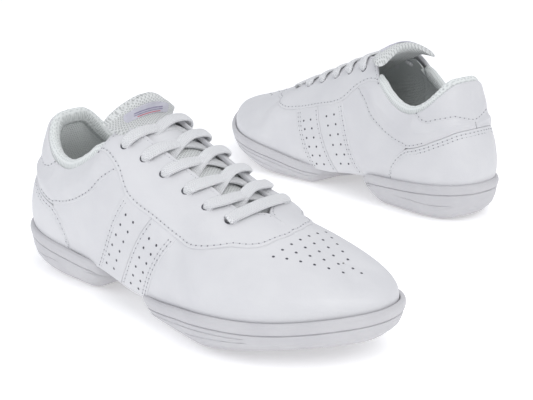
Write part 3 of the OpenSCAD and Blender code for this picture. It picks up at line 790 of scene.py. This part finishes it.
def build_side(shoe, word, side, stitches):
    """Bands, quarter and collar of one side, and the seams over them."""
    bands = {"front": (stripe_path(STRIPE_MID, STRIPE_FRONT, side), (0, 0, 1, 2)),
             "rear": (stripe_path(STRIPE_REAR, STRIPE_MID, side), (0, 0, 2, 0))}
    for place, (path, rows) in bands.items():
        ob = panel(f"{shoe}_band_{place}_{word}", shoe, path, [LEATHER], (TUCKED, TUCKED, RAISED, RAISED),
                   out=STRIPE_LIFT, rows=rows, bulge=BAND_BULGE, uneven=.03)
        bending(ob, shoe, f"stripe_{place}_{word}")
        for edge, count in (("start", rows[2]), ("end", rows[3])):
            for r in range(count):
                at = SEAM_AT + r * ROW_GAP
                stitch_line(stitches, *seam(path, edge, at, STRIPE_LIFT, (3, 5), BAND_BULGE))
    ob = panel(f"{shoe}_quarter_panel_{word}", shoe, quarter_path(side), [LEATHER], (TUCKED,) * 4, bulge=.3)
    bending(ob, shoe, f"quarter_{word}")
    collar, eyestay = collar_path(side), eyestay_path(side)
    ob = panel(f"{shoe}_collar_pad_{word}", shoe, collar, [EDGE], (RAISED, RAISED, TUCKED, TUCKED),
               out=COLLAR_LIFT, bulge=COLLAR_BULGE, rows=(1, 0, 0, 0), radius=.9, grow=9, uneven=.25)
    bending(ob, shoe, f"collar_panel_{word}")
    stitch_line(stitches, *seam(collar, "low", SEAM_AT, COLLAR_LIFT, (42, 3), COLLAR_BULGE, 9))
    stitch_line(stitches, *seam(eyestay, "low", SEAM_AT, EYESTAY_LIFT, (4, .5)))
    stitch_line(stitches, *seam(eyestay, "high", SEAM_AT + .6, EYESTAY_LIFT, (4, 14)))


def build_shell(name, shoe, path_of, edges, node, out, uneven):
    """Lateral and medial halves of a shell over the front, joined on the centre line."""
    for word, side in SIDES.items():
        ob = panel(f"{shoe}_{name}_{word}", shoe, path_of(side), [LEATHER], edges, out=out,
                   rows=(1, 1, 0, 0), weld=True, uneven=uneven)
        front(ob, shoe, "leather", node)


def build_back(shoe, stitches):
    """Heel counter and heel tab."""
    counter = back_path(.2155, lambda s: 0 * s, lambda s: along(COUNTER_TOP, s))
    ob = panel(f"{shoe}_counter_wrap", shoe, counter, [LEATHER], (TUCKED, RAISED, TUCKED, TUCKED),
               out=COUNTER_LIFT, rows=(0, 2, 0, 0), bulge=.2)
    rear(ob, shoe, "leather", "heel_counter")
    for r in range(2):
        stitch_line(stitches, *seam(counter, "high", SEAM_AT + r * ROW_GAP, COUNTER_LIFT, (2, 2), .2))
    tab = back_path(.1725, lambda s: along(TAB_LOW, s), lambda s: 1 + 0 * s)
    ob = panel(f"{shoe}_heel_tab_pad", shoe, tab, [EDGE], (RAISED, RAISED, TUCKED, TUCKED), out=TAB_LIFT,
               bulge=.7, rows=(1, 0, 0, 0), radius=1.0, grow=8, uneven=.2)
    rear(ob, shoe, "leather", "heel_tab")
    stitch_line(stitches, *seam(tab, "low", SEAM_AT, TAB_LIFT, (3, 3), .7))


def build_upper(shoe):
    stitches = Batch()
    for word, side in SIDES.items():
        build_side(shoe, word, side, stitches)
    build_shell("vamp_shell", shoe, vamp_path, (TUCKED, JOINED, TUCKED, JOINED), "vamp", 0.0, .14)
    build_shell("eyestay_facing", shoe, eyestay_path, (RAISED, RAISED, RAISED, JOINED), "eyestay",
                EYESTAY_LIFT, 0.0)
    build_back(shoe, stitches)
    bending(stitches.object(f"{shoe}_stitching", shoe, [THREAD, NEEDLE_SHADE]), shoe)


# ---- perforations and eyelets
PERF_SEGMENTS, EYELET_SEGMENTS = 16, 24
PERF = lathe([(0, .03), (.5, .03), (.66, .05), (.80, .09), (.92, .0), (.92, -.5), (0, -.5)], PERF_SEGMENTS)
EYELET = lathe([(0, .05), (2.0, .05), (2.3, .12), (2.6, .16), (2.9, .0), (2.9, -1.0), (0, -1.0)],
               EYELET_SEGMENTS)
TOE_ROWS = (7, 6, 5, 4, 3, 2, 1)       # perforations in each row on the toe, the rearmost row first


def ring_mats(template, segments, dark_rings=2):
    """Material of each face of a turned solid: a dark disc painted as the shade inside the hole, pale rim."""
    rings = (len(template[1]) - 2 * segments) // segments
    side = [1 if k // segments < dark_rings else 0 for k in range(rings * segments)]
    return side + [1, 0] * segments


def solve(x, w):
    """s, t and side on the front of the shoe above the plan point x, w."""
    side = 1.0 if w >= col(TOPMID, .8) else -1.0
    s, t = x / LENGTH + .5, .9
    h = 1e-4
    for _ in range(30):
        p, ps, pt = [skin_raw(np.array(a), np.array(b), np.array(side))[:2]
                     for a, b in ((s, t), (s + h, t), (s, t - h))]
        a, b = (ps - p) / h, (pt - p) / -h
        e = np.array([x, w]) - p
        det = a[0] * b[1] - a[1] * b[0]
        if abs(det) < 1e-9:
            break
        s = float(np.clip(s + .7 * (e[0] * b[1] - e[1] * b[0]) / det, .6, .999))
        t = float(np.clip(t + .7 * (a[0] * e[1] - a[1] * e[0]) / det, .3, .9995))
    return s, t, side


def punch(batch, template, p, n, lift, mats):
    """Turned solids standing on the skin points p, along their normals n."""
    batch.add(template, p + n * lift, n, np.broadcast_to([1.0, 0, 0], n.shape), mats)


def build_perforations(shoe):
    batch = Batch()
    mats = ring_mats(PERF, PERF_SEGMENTS)
    spots = [(74.7 + 6.0 * row, (k - (count - 1) / 2) * (7.5 + .2 * row) - .6 * row + .5)
             for row, count in enumerate(TOE_ROWS) for k in range(count)]
    p, n = skin(*np.array([solve(x, w) for x, w in spots]).T)
    punch(batch, PERF, p, n, .12, mats)
    for side in SIDES.values():
        for a, b, first in ((STRIPE_MID, STRIPE_FRONT, .12), (STRIPE_REAR, STRIPE_MID, .17)):
            path = stripe_path(a, b, side)
            for column, shift in ((.34, 0), (.65, -.015)):
                p, n = skin(*path(np.full(6, column), first + shift + np.arange(6) * .13))
                punch(batch, PERF, p, n, STRIPE_LIFT + BAND_BULGE + .05, mats)
    bending(batch.object(f"{shoe}_perforations", shoe, [LEATHER, HOLE_SHADE]), shoe)


def build_eyelets(shoe):
    batch = Batch()
    for side in SIDES.values():
        p, n = skin(np.array(EYE_S) - .003, EYE_T - .010, side)
        punch(batch, EYELET, p, n, EYESTAY_LIFT - .02, ring_mats(EYELET, EYELET_SEGMENTS))
    front(batch.object(f"{shoe}_eyelets", shoe, [LEATHER, HOLE_SHADE]), shoe, "leather")


# ---- linings, collar and sock
LINING_OUT = -3.5        # face of the lining, under the skin
SOCK_INSET, WRAP_INSET = 10.5, 5.2


def front_lining_path(side):
    a0 = angle_of(.34)

    def path(u, v):
        s = station(a0 + (math.pi - a0) * u)
        high = np.where(s > .775, 1, np.where(s > .70, .965, .955))
        return s + 0 * v, .04 + (high - .04) * v, side + 0 * u * v
    return path


def build_linings(shoe):
    path = back_path(.345, lambda s: .06 + 0 * s, lambda s: .95 + 0 * s)
    ob = panel(f"{shoe}_rear_lining_knit", shoe, path, [LINING], (TUCKED,) * 4, out=LINING_OUT, inner=-6.2,
               uneven=.3, step=2.6)
    bending(ob, shoe, "rear_lining")
    for word, side in SIDES.items():
        ob = panel(f"{shoe}_front_lining_{word}", shoe, front_lining_path(side), [LINING], (TUCKED,) * 4,
                   out=LINING_OUT, inner=-4.6, uneven=.0, step=3.5)
        front(ob, shoe, "knit_lining", "front_lining")


def build_collar_roll(shoe):
    u = np.linspace(-1, 1, 260)
    s, side = station(angle_of(.335) * np.abs(u)), np.where(u < 0, -1.0, 1.0)
    edge = skin(s, 1.0, side)[0]
    p, n = skin(s, .93, side)
    path = p - 5.6 * n
    path[:, 2] = edge[:, 2] - 2 + 2.4 * smooth((s - .05) / .1) + .12 * np.sin(np.arange(260) * .9)
    ends = np.minimum(1, .35 + .65 * np.sqrt(np.clip((1 - np.abs(u)) / .03, 0, 1)))[:, None]
    ob = tube(f"{shoe}_collar_roll", shoe, path, np.broadcast_to([0, 0, 1.0], path.shape),
              np.array([[3.4, 4.6]]) * ends, [LINING], 28)
    bending(ob, shoe, "collar_binding")


def build_sock(shoe):
    s, v = station(np.linspace(0, math.pi, 110)), np.linspace(-1, 1, 33)
    outer, inner = [plan(s, side) - SOCK_INSET * plan_normal(s, side) for side in SIDES.values()]
    mid, half = (outer + inner) / 2, (outer - inner) / 2
    foot_line = col(FEATHER, s)[:, None]
    top = np.stack([mid[:, :1] + half[:, :1] * v, mid[:, 1:] + half[:, 1:] * v,
                    foot_line + 5.3 + .9 * np.abs(v)**5], -1)
    low = top.copy()
    low[..., 2] = foot_line + 2.2
    ob = slab(f"{shoe}_sock", shoe, top, low, [SOCK], top[..., :2].reshape(-1, 2), smooth_angle=.9)
    bending(ob, shoe, "sockliner")


def build_arch_wrap(shoe):
    s, v = np.linspace(.25, .51, 60), np.linspace(-1, 1, 33)
    mid = col(MID, s)
    w = mid[:, None] + (plan(s, 1.0)[:, 1] - mid - WRAP_INSET)[:, None] * v
    x = np.broadcast_to((LENGTH * (s - .5))[:, None], w.shape)
    top, low = [np.stack([x, w, col(FEATHER, s)[:, None] + z + 0 * w], -1) for z in (1.9, .4)]
    ob = slab(f"{shoe}_arch_wrap", shoe, top, low, [LEATHER], smooth_angle=.9)
    bending(ob, shoe, "arch_sleeve")


# ---- tongue
# Rows: share of the length, x and z of the centre line, half width, drop of the edges
TONGUE = [[0, 55, 58.2, 15, 6.5], [.2, 38, 64.8, 18, 6.5], [.45, 14, 76.4, 19, 6], [.75, -14, 89.6, 20, 5],
          [1, -39, 101.8, 20, 4.5]]
TONGUE_TOP = {
    "right": [[0, -30, 97.6, 18, 4], [.2, -38, 101.8, 21, 4], [.36, -41.3, 106, 25, 5.5],
              [.62, -41.3, 112.2, 28, 9], [.9, -39.8, 117, 26, 11.5], [1, -39.2, 118.6, 18, 6.4]],
    "left": [[0, -30, 97.6, 18, 4], [.2, -38, 101.8, 20, 4], [.42, -44.5, 105.6, 24, 4.5],
             [.68, -48, 107.6, 28, 8], [.9, -51.6, 109.4, 26, 10], [1, -53, 110, 18, 5.5]]}
DROP = unit(np.array([.44, 0, .9]))    # way in which the tongue's edges drop
TONGUE_MID = -col(TOPMID, .5)          # place of the tongue across the shoe
TONGUE_HALF, TIP_HALF = 2.2, 3.9       # half thickness of the tongue and of its top
# Plain bars on the label: from and to, as shares of the top's length, half width and material
LABEL_BARS = ((.535, .57, 12.5, MARK), (.46, .495, 12.5, MARK), (.36, .40, 10.0, MARK_RED))


def tongue_frame(table, q):
    """Centre line, its normal, half width and edge drop at the shares q of the length."""
    p = curve(table, q)
    a, b = curve(table, np.maximum(0, q - .02)), curve(table, np.minimum(1, q + .02))
    d = unit(np.stack([b[..., 0] - a[..., 0], 0 * q, b[..., 1] - a[..., 1]], -1))
    n = np.stack([d[..., 2], 0 * q, -d[..., 0]], -1)
    c = np.stack([p[..., 0], TONGUE_MID + 0 * q, p[..., 1]], -1)
    return c, n, p[..., 2], p[..., 3]


def tongue_at(table, q, v, lift):
    """Points at lift above the tongue's middle surface; v from -1 to 1 across."""
    c, n, hw, drop = tongue_frame(table, q)
    out = c + n * lift[..., None] - DROP * (drop * v * v)[..., None]
    out[..., 1] += hw * v
    return out


def tongue_pad(name, shoe, table, half_t, round_end, n=90, m=56):
    """Padded slab along the tongue, its ends rounded over round_end mm."""
    q = np.linspace(0, 1, n)
    c, normal, hw, drop = tongue_frame(table, q)
    run = distance_along(c)
    d = np.minimum(run, run[-1] - run)
    f = np.sqrt(np.clip(1 - (1 - np.minimum(1, d / round_end))**2, .0025, 1))
    v, e = oval(m, .62, .75)
    hw = hw - half_t * (1 - f)
    lift = e * (half_t * f)[:, None]
    pts = c[:, None] + normal[:, None] * lift[..., None] - DROP * (drop[:, None] * v * v)[..., None]
    pts[..., 1] += hw[:, None] * v
    uv = np.stack(np.broadcast_arrays(run[:, None], hw[:, None] * v), -1).reshape(-1, 2)
    return mesh_object(name, shoe, pts.reshape(-1, 3), capped_faces(n, m), [SPACER], uv=uv)


def strip(name, shoe, table, q0, q1, width, low, high, mats, half_t, n=24, m=30, arch=0.0):
    """Thin patch sewn on the tongue, following its surface; arch lowers the corners of its top edge."""
    v = np.linspace(-1, 1, m)[None]
    q = q0 + np.linspace(0, 1, n)[:, None] * (q1 - q0 - arch * v**2)
    vv = v * (width / tongue_frame(table, q[:, 0])[2])[:, None]
    face = half_t * (1 - np.abs(vv)**3)
    edge = .5 * np.exp(-(width * (1 - np.abs(v)) + 0 * q) / .5)
    top, bottom = tongue_at(table, q, vv, face + high - edge), tongue_at(table, q, vv, face + low)
    run = distance_along(top[:, m // 2])
    uv = np.stack(np.broadcast_arrays(run[:, None], width * v), -1).reshape(-1, 2)
    return slab(name, shoe, top, bottom, mats, uv, smooth_angle=.9)


def build_tongue(shoe):
    ob = tongue_pad(f"{shoe}_tongue_pad", shoe, TONGUE, TONGUE_HALF, 4.0)
    front(ob, shoe, "tongue_knit", "tongue")
    ob = tongue_pad(f"{shoe}_tongue_cushion", shoe, TONGUE_TOP[shoe], TIP_HALF, 5.0)
    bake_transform(ob)
    filed(shoe, "tongue_top")
    sewn = (f"{shoe}_label", shoe, TONGUE_TOP[shoe], .30, .77, 19.5, .0, .75)
    on_tip(strip(*sewn, [LABEL], TIP_HALF, arch=.07), shoe, "tongue_label")
    for k, (q0, q1, width, mat) in enumerate(LABEL_BARS):
        sewn = (f"{shoe}_label_bar_{k}", shoe, TONGUE_TOP[shoe], q0, q1, width, .6, .95)
        on_tip(strip(*sewn, [mat], TIP_HALF, n=5, m=20), shoe)
    ob = strip(f"{shoe}_keeper", shoe, TONGUE, .78, .93, 13.0, .2, 1.7, [LEATHER], TONGUE_HALF)
    front(ob, shoe, "leather", "lace_keeper")


# ---- lace
LACE_HALF = (3.6, 1.3)   # half width and half thickness
RISING = (3.3, 1.5)      # the same where it comes out of an eyelet
SQUEEZED = (2.1, 1.6)    # and inside an eyelet


def lace_points():
    """Rows of point, upward direction, half width and half thickness, from one hidden end to the other."""
    def at(s, t, side, off, half=LACE_HALF):
        p, n = skin(s, t, side)
        return np.concatenate([p + n * off, n, half])

    def up_at(k, side):      # the front bar starts further out than the others
        s, t = (.002, .006) if k else (-.003, -.014)
        return at(EYE_S[k] + s, EYE_T + t, side, EYESTAY_LIFT + 1.4, RISING)

    def hole(k, side):
        return at(EYE_S[k] + .002, EYE_T - (.014 if k else .022), side, -2.6, SQUEEZED)

    def under(k, side):
        return at(EYE_S[k] - .022, .985, side, -3.2)

    def over(k, side):
        return at(EYE_S[k + 1] + .012, .965, side, EYESTAY_LIFT + (1.7 if side > 0 else 2.9))

    def crossing(k, side):
        a, b = under(k, -side), over(k, side)
        c = (a + b) / 2
        c[2] += 3.0 if side > 0 else 5.6
        c[3:6] = (.4, 0, 1)
        return [hole(k, -side), a, c, b, up_at(k + 1, side)]

    def half(side):
        return [q for k in range(5) for q in crossing(k, -side if k % 2 == 0 else side)]

    top = (at(EYE_S[0], 1.0, 1.0, 5) + at(EYE_S[0], 1.0, -1.0, 5)) / 2
    top[2] -= 1.2
    edge = [at(EYE_S[0], .955, side, EYESTAY_LIFT + 1.6) for side in (1.0, -1.0)]
    bar = [up_at(0, 1.0), edge[0], top, edge[1], up_at(0, -1.0)]
    ends = [[hole(5, side), at(EYE_S[5] - .01, .9, side, -7)] for side in (1.0, -1.0)]
    return np.array(ends[0][::-1] + half(-1.0)[::-1] + bar + half(1.0) + ends[1])


def build_lace(shoe):
    pts = spline(lace_points(), .9)
    ob = tube(f"{shoe}_lacing", shoe, pts[:, :3], unit(pts[:, 3:6]), pts[:, 6:], [LACE], 24, power=2.6)
    front(ob, shoe, "lace", "lace")


# ---- soles
TREAD_T, RIM_LIP = 3.5, 2.2            # tread layer; rim above the foot line
HEEL_END, FORE_END = .352, .437        # stations of the arch ends of the units
GROUND = [[0, 2.5], [.05, .2], [.1, 0], [.58, 0], [.64, .4], [.7, 2], [.8, 6], [.9, 9], [1, 10.5]]
TOP_DROP = 2.6                         # fall of the top below the foot line under the arch


def ground(s):
    """Height of the bottom: heel bevel, flat, toe spring; the arch ends rise like the bow of a boat."""
    s = np.asarray(s, float)
    rise = np.where(s < .4, 9 * smooth((s - .25) / .10), 7 * smooth((.53 - s) / .08))
    return np.maximum(0, col(GROUND, s)) + rise


def heel_top(s):
    return col(FEATHER, s) - TOP_DROP * smooth((s - .285) / .035)


def fore_top(s):
    return col(FEATHER, s) - TOP_DROP * smooth((.50 - s) / .035)


def heel_taper(s):
    return np.sqrt(1 - np.clip((s - .23) / (HEEL_END - .23), 0, 1)**4)


def fore_taper(s):
    return np.sqrt(1 - np.clip((.57 - s) / (.57 - FORE_END), 0, 1)**4)


HEEL_ST = HEEL_END * station(np.linspace(0, math.pi, 120))
FORE_ST = FORE_END + (1 - FORE_END) * station(np.linspace(0, math.pi, 150))


def outline(st, taper):
    """Stations and sides round a unit, once round, with the taper of each."""
    s = np.concatenate([st, st[-2:0:-1]])
    side = np.concatenate([np.ones(len(st)), -np.ones(len(st) - 2)])
    return s, side, taper(s)


def sole_ring(s, side, taper, off, z):
    """Ring of a unit at the height z, off mm outside the plan outline."""
    b = plan(s, side) + (off + 0 * s)[:, None] * plan_normal(s, side)
    m = col(MID, s)
    return np.stack([b[:, 0], m + (b[:, 1] - m) * taper, z], -1)


def ladder(n, start, up):
    """Faces that close a ring of 2 n - 2 points, from side to side."""
    m = 2 * n - 2
    out = []
    for i in range(n - 1):
        a, b, c, d = i, i + 1, (m - i - 1) % m, (m - i) % m
        f = [a, c, b] if i == 0 else [a, d, b] if i == n - 2 else [a, d, c, b]
        out.append([q + start for q in (f if up else f[::-1])])
    return out


# Side of a midsole: share of its height and how far it stands out from the plan outline
SIDE_PROFILE = [[0, -3.5], [.08, -1.6], [.22, .6], [.45, 2.2], [.7, 3.0], [.88, 3.4], [.96, 3.2], [1, 2.6]]
SIDE_ROWS = 74
RIM_BAND = 6.7           # height of the rounded band above the long groove


def groove(z, at, depth, half_width):
    return -depth * np.exp(-((z - at) / half_width)**4)


def band(z, rim):
    """The rounded band along the top and the groove under it."""
    swell = .5 * np.sin(math.pi * np.clip((z - rim + RIM_BAND) / RIM_BAND, 0, 1))
    return swell + groove(z, rim - RIM_BAND, .8, .38)


def fore_grooves(s, z, rim):
    """Under the band a long narrow loop, closed at its front end."""
    end = .80
    high = rim - RIM_BAND - 2.9
    low = high - np.interp(s, [.50, end], [6.5, 2.6])
    lines = groove(z, high, .5, .3) + groove(z, low, .45, .3) * smooth((s - .50) / .02)
    close = groove(s, end, .45, .005) * smooth((high - z + .3) / .3) * smooth((z - low + .3) / .3)
    return band(z, rim) + lines * smooth((end + .004 - s) / .008) + close


def heel_grooves(s, z, rim):
    """Under the band a short wave line behind and a second line near the arch end."""
    wave = rim - RIM_BAND - np.interp(s, [.04, .08, .15], [8.3, 8.0, 5.2])
    h = band(z, rim) + groove(z, wave, .5, .34) * smooth((s - .02) / .02) * smooth((.20 - s) / .05)
    return h + groove(z, rim - RIM_BAND - 1.7, .6, .3) * smooth((s - .26) / .03)


def midsole(shoe, unit_name, st, taper, top, grooves):
    s, side, tp = outline(st, taper)
    t = top(s)
    base, rim = ground(s) + TREAD_T, t + RIM_LIP
    rows = []
    for q in np.linspace(0, 1, SIDE_ROWS):
        z = base + q * (rim - base)
        off = np.interp(q, *np.transpose(SIDE_PROFILE))
        edge = -.7 * (1 - np.sqrt(1 - (1 - min(1, (1 - q) / .035))**2))
        rows.append(sole_ring(s, side, tp, off + grooves(s, z, rim) + edge, z))
    for off, z in ((1.5, rim + .05), (.75, rim - .25), (.4, t - .35)):
        rows.append(sole_ring(s, side, tp, off, z))
    m, last = len(s), len(rows) - 1
    faces = ladder(len(st), 0, False) + ladder(len(st), last * m, True) + grid_quads(last + 1, m, wrap=True)
    return mesh_object(f"{shoe}_{unit_name}_midsole_side", shoe, np.concatenate(rows), faces, [MIDSOLE],
                       smooth_angle=1.0)


def tread_height(x, w, x0, w0, outer):
    """Depth, 0 to 1, of the grooves in the tread: rings on a disc at x0, w0, and waves round it."""
    r = np.hypot(x - x0, w - w0)
    rings = smooth((np.abs((r / 3.6) % 1 - .5) - .27) / .1)
    bars = smooth((np.abs(((x + 2.2 * np.sin(w / 5.2)) / 5.2) % 1 - .5) - .24) / .09)
    moat = np.exp(-((r - outer - 1.2) / 1.0)**4)
    return np.where(r < outer, rings, np.maximum(bars, moat))


TREAD_ROWS = ((-9.4, .25), (-9, .05), (-8.2, .15), (-6, 1.1), (-4.6, 2.2), (-3.5, TREAD_T))
TREAD_ACROSS = 96


def outsole(shoe, unit_name, st, taper, disc):
    s, side, tp = outline(st, taper)
    rows = [sole_ring(s, side, tp, off, ground(s) + z) for off, z in TREAD_ROWS]
    off, z = TREAD_ROWS[0]
    lat, med = [sole_ring(st, q, taper(st), off, ground(st) + z)[:, None] for q in SIDES.values()]
    v = np.linspace(0, 1, TREAD_ACROSS)[None, :, None]
    grid = med * (1 - v) + lat * v
    edge = np.minimum(np.linalg.norm(grid - med, axis=-1), np.linalg.norm(grid - lat, axis=-1))
    depth = tread_height(grid[..., 0], grid[..., 1], *disc) * smooth((edge - .2) / 1.2)
    grid[..., 2] += -.25 * smooth(edge / .8) + 1.1 * depth
    n, m, count = len(st), len(s), len(rows)
    faces = (grid_quads(count, m, wrap=True) + ladder(n, (count - 1) * m, True)
             + grid_quads(n, TREAD_ACROSS, start=count * m))
    pts = np.concatenate(rows + [grid.reshape(-1, 3)])
    return mesh_object(f"{shoe}_{unit_name}_tread", shoe, pts, faces, [TREAD], smooth_angle=1.0, weld=True)


def build_soles(shoe):
    for unit_name, st, taper, top, grooves, disc, place in (
            ("heel", HEEL_ST, heel_taper, heel_top, heel_grooves, (-88, 0, 14), rear),
            ("forefoot", FORE_ST, fore_taper, fore_top, fore_grooves, (48, 5, 25), front)):
        place(midsole(shoe, unit_name, st, taper, top, grooves), shoe, "midsole", f"{unit_name}_midsole")
        place(outsole(shoe, unit_name, st, taper, disc), shoe, "sole_rubber", f"{unit_name}_outsole")


for shoe in SHOES:
    build_soles(shoe)
    build_upper(shoe)
    build_linings(shoe)
    build_collar_roll(shoe)
    build_sock(shoe)
    build_arch_wrap(shoe)
    build_perforations(shoe)
    build_eyelets(shoe)
    build_tongue(shoe)
    build_lace(shoe)
    for part in ("heel_board", "forefoot_board", "toe_puff", "counter_stiffener"):
        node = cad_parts[f"{shoe}_{part}"]
        node.data.materials.clear()
        node.data.materials.append(BOARD)

# ---- floor, light, camera
TARGET = Vector((-.00209, .06179, .04559))


def toward(azimuth, elevation):
    """Direction from the target, azimuth 0 in front of the row (-Y)."""
    return Vector((math.sin(azimuth) * math.cos(elevation), -math.cos(azimuth) * math.cos(elevation),
                   math.sin(elevation)))


def soft_light(name, azimuth, elevation, distance, size, watts, color):
    data = bpy.data.lights.new(name, "AREA")
    data.shape = "DISK"
    data.size = size
    data.energy = watts
    data.color = color
    ob = bpy.data.objects.new(name, data)
    ob.location = TARGET + distance * toward(math.radians(azimuth), math.radians(elevation))
    ob.rotation_euler = (TARGET - ob.location).to_track_quat("-Z", "Y").to_euler()
    bpy.context.scene.collection.objects.link(ob)


floor_mesh = bpy.data.meshes.new("floor")
floor_mesh.from_pydata([(-4, -4, 0), (4, -4, 0), (4, 4, 0), (-4, 4, 0)], [], [(0, 1, 2, 3)])
floor = bpy.data.objects.new("floor", floor_mesh)
floor_mesh.materials.append(plain_material("floor paint", (.93, .93, .935), (.92, .92, .925), .6, 40, .00005))
paint = next(n for n in floor_mesh.materials[0].node_tree.nodes if n.type == "BSDF_PRINCIPLED")
paint.inputs["Emission Color"].default_value = (1, 1, 1, 1)
paint.inputs["Emission Strength"].default_value = .3
bpy.context.scene.collection.objects.link(floor)
floor.location.z = -.0005

world = bpy.data.worlds.new("studio")
bpy.context.scene.world = world
world.use_nodes = True
background = world.node_tree.nodes["Background"]
background.inputs["Color"].default_value = (.93, .95, 1.0, 1)
background.inputs["Strength"].default_value = .66
soft_light("key", 70, 48, 1.5, 1.2, 8, (1, .99, .97))
soft_light("fill", -30, 30, 1.6, 1.3, 4.5, (.97, .98, 1))
soft_light("top", 200, 75, 1.5, 1.4, 3.5, (1, 1, 1))
bpy.context.scene.view_settings.view_transform = "Standard"

camera_data = bpy.data.cameras.new("camera")
camera_data.lens = 85
camera_data.sensor_width = 36
camera = bpy.data.objects.new("camera", camera_data)
bpy.context.scene.collection.objects.link(camera)
bpy.context.scene.camera = camera
AZ, EL, DIST = math.radians(40.36), math.radians(18.63), .77185
back = toward(AZ, EL)
camera.location = TARGET + DIST * back
camera.rotation_euler = (-back).to_track_quat("-Z", "Y").to_euler()
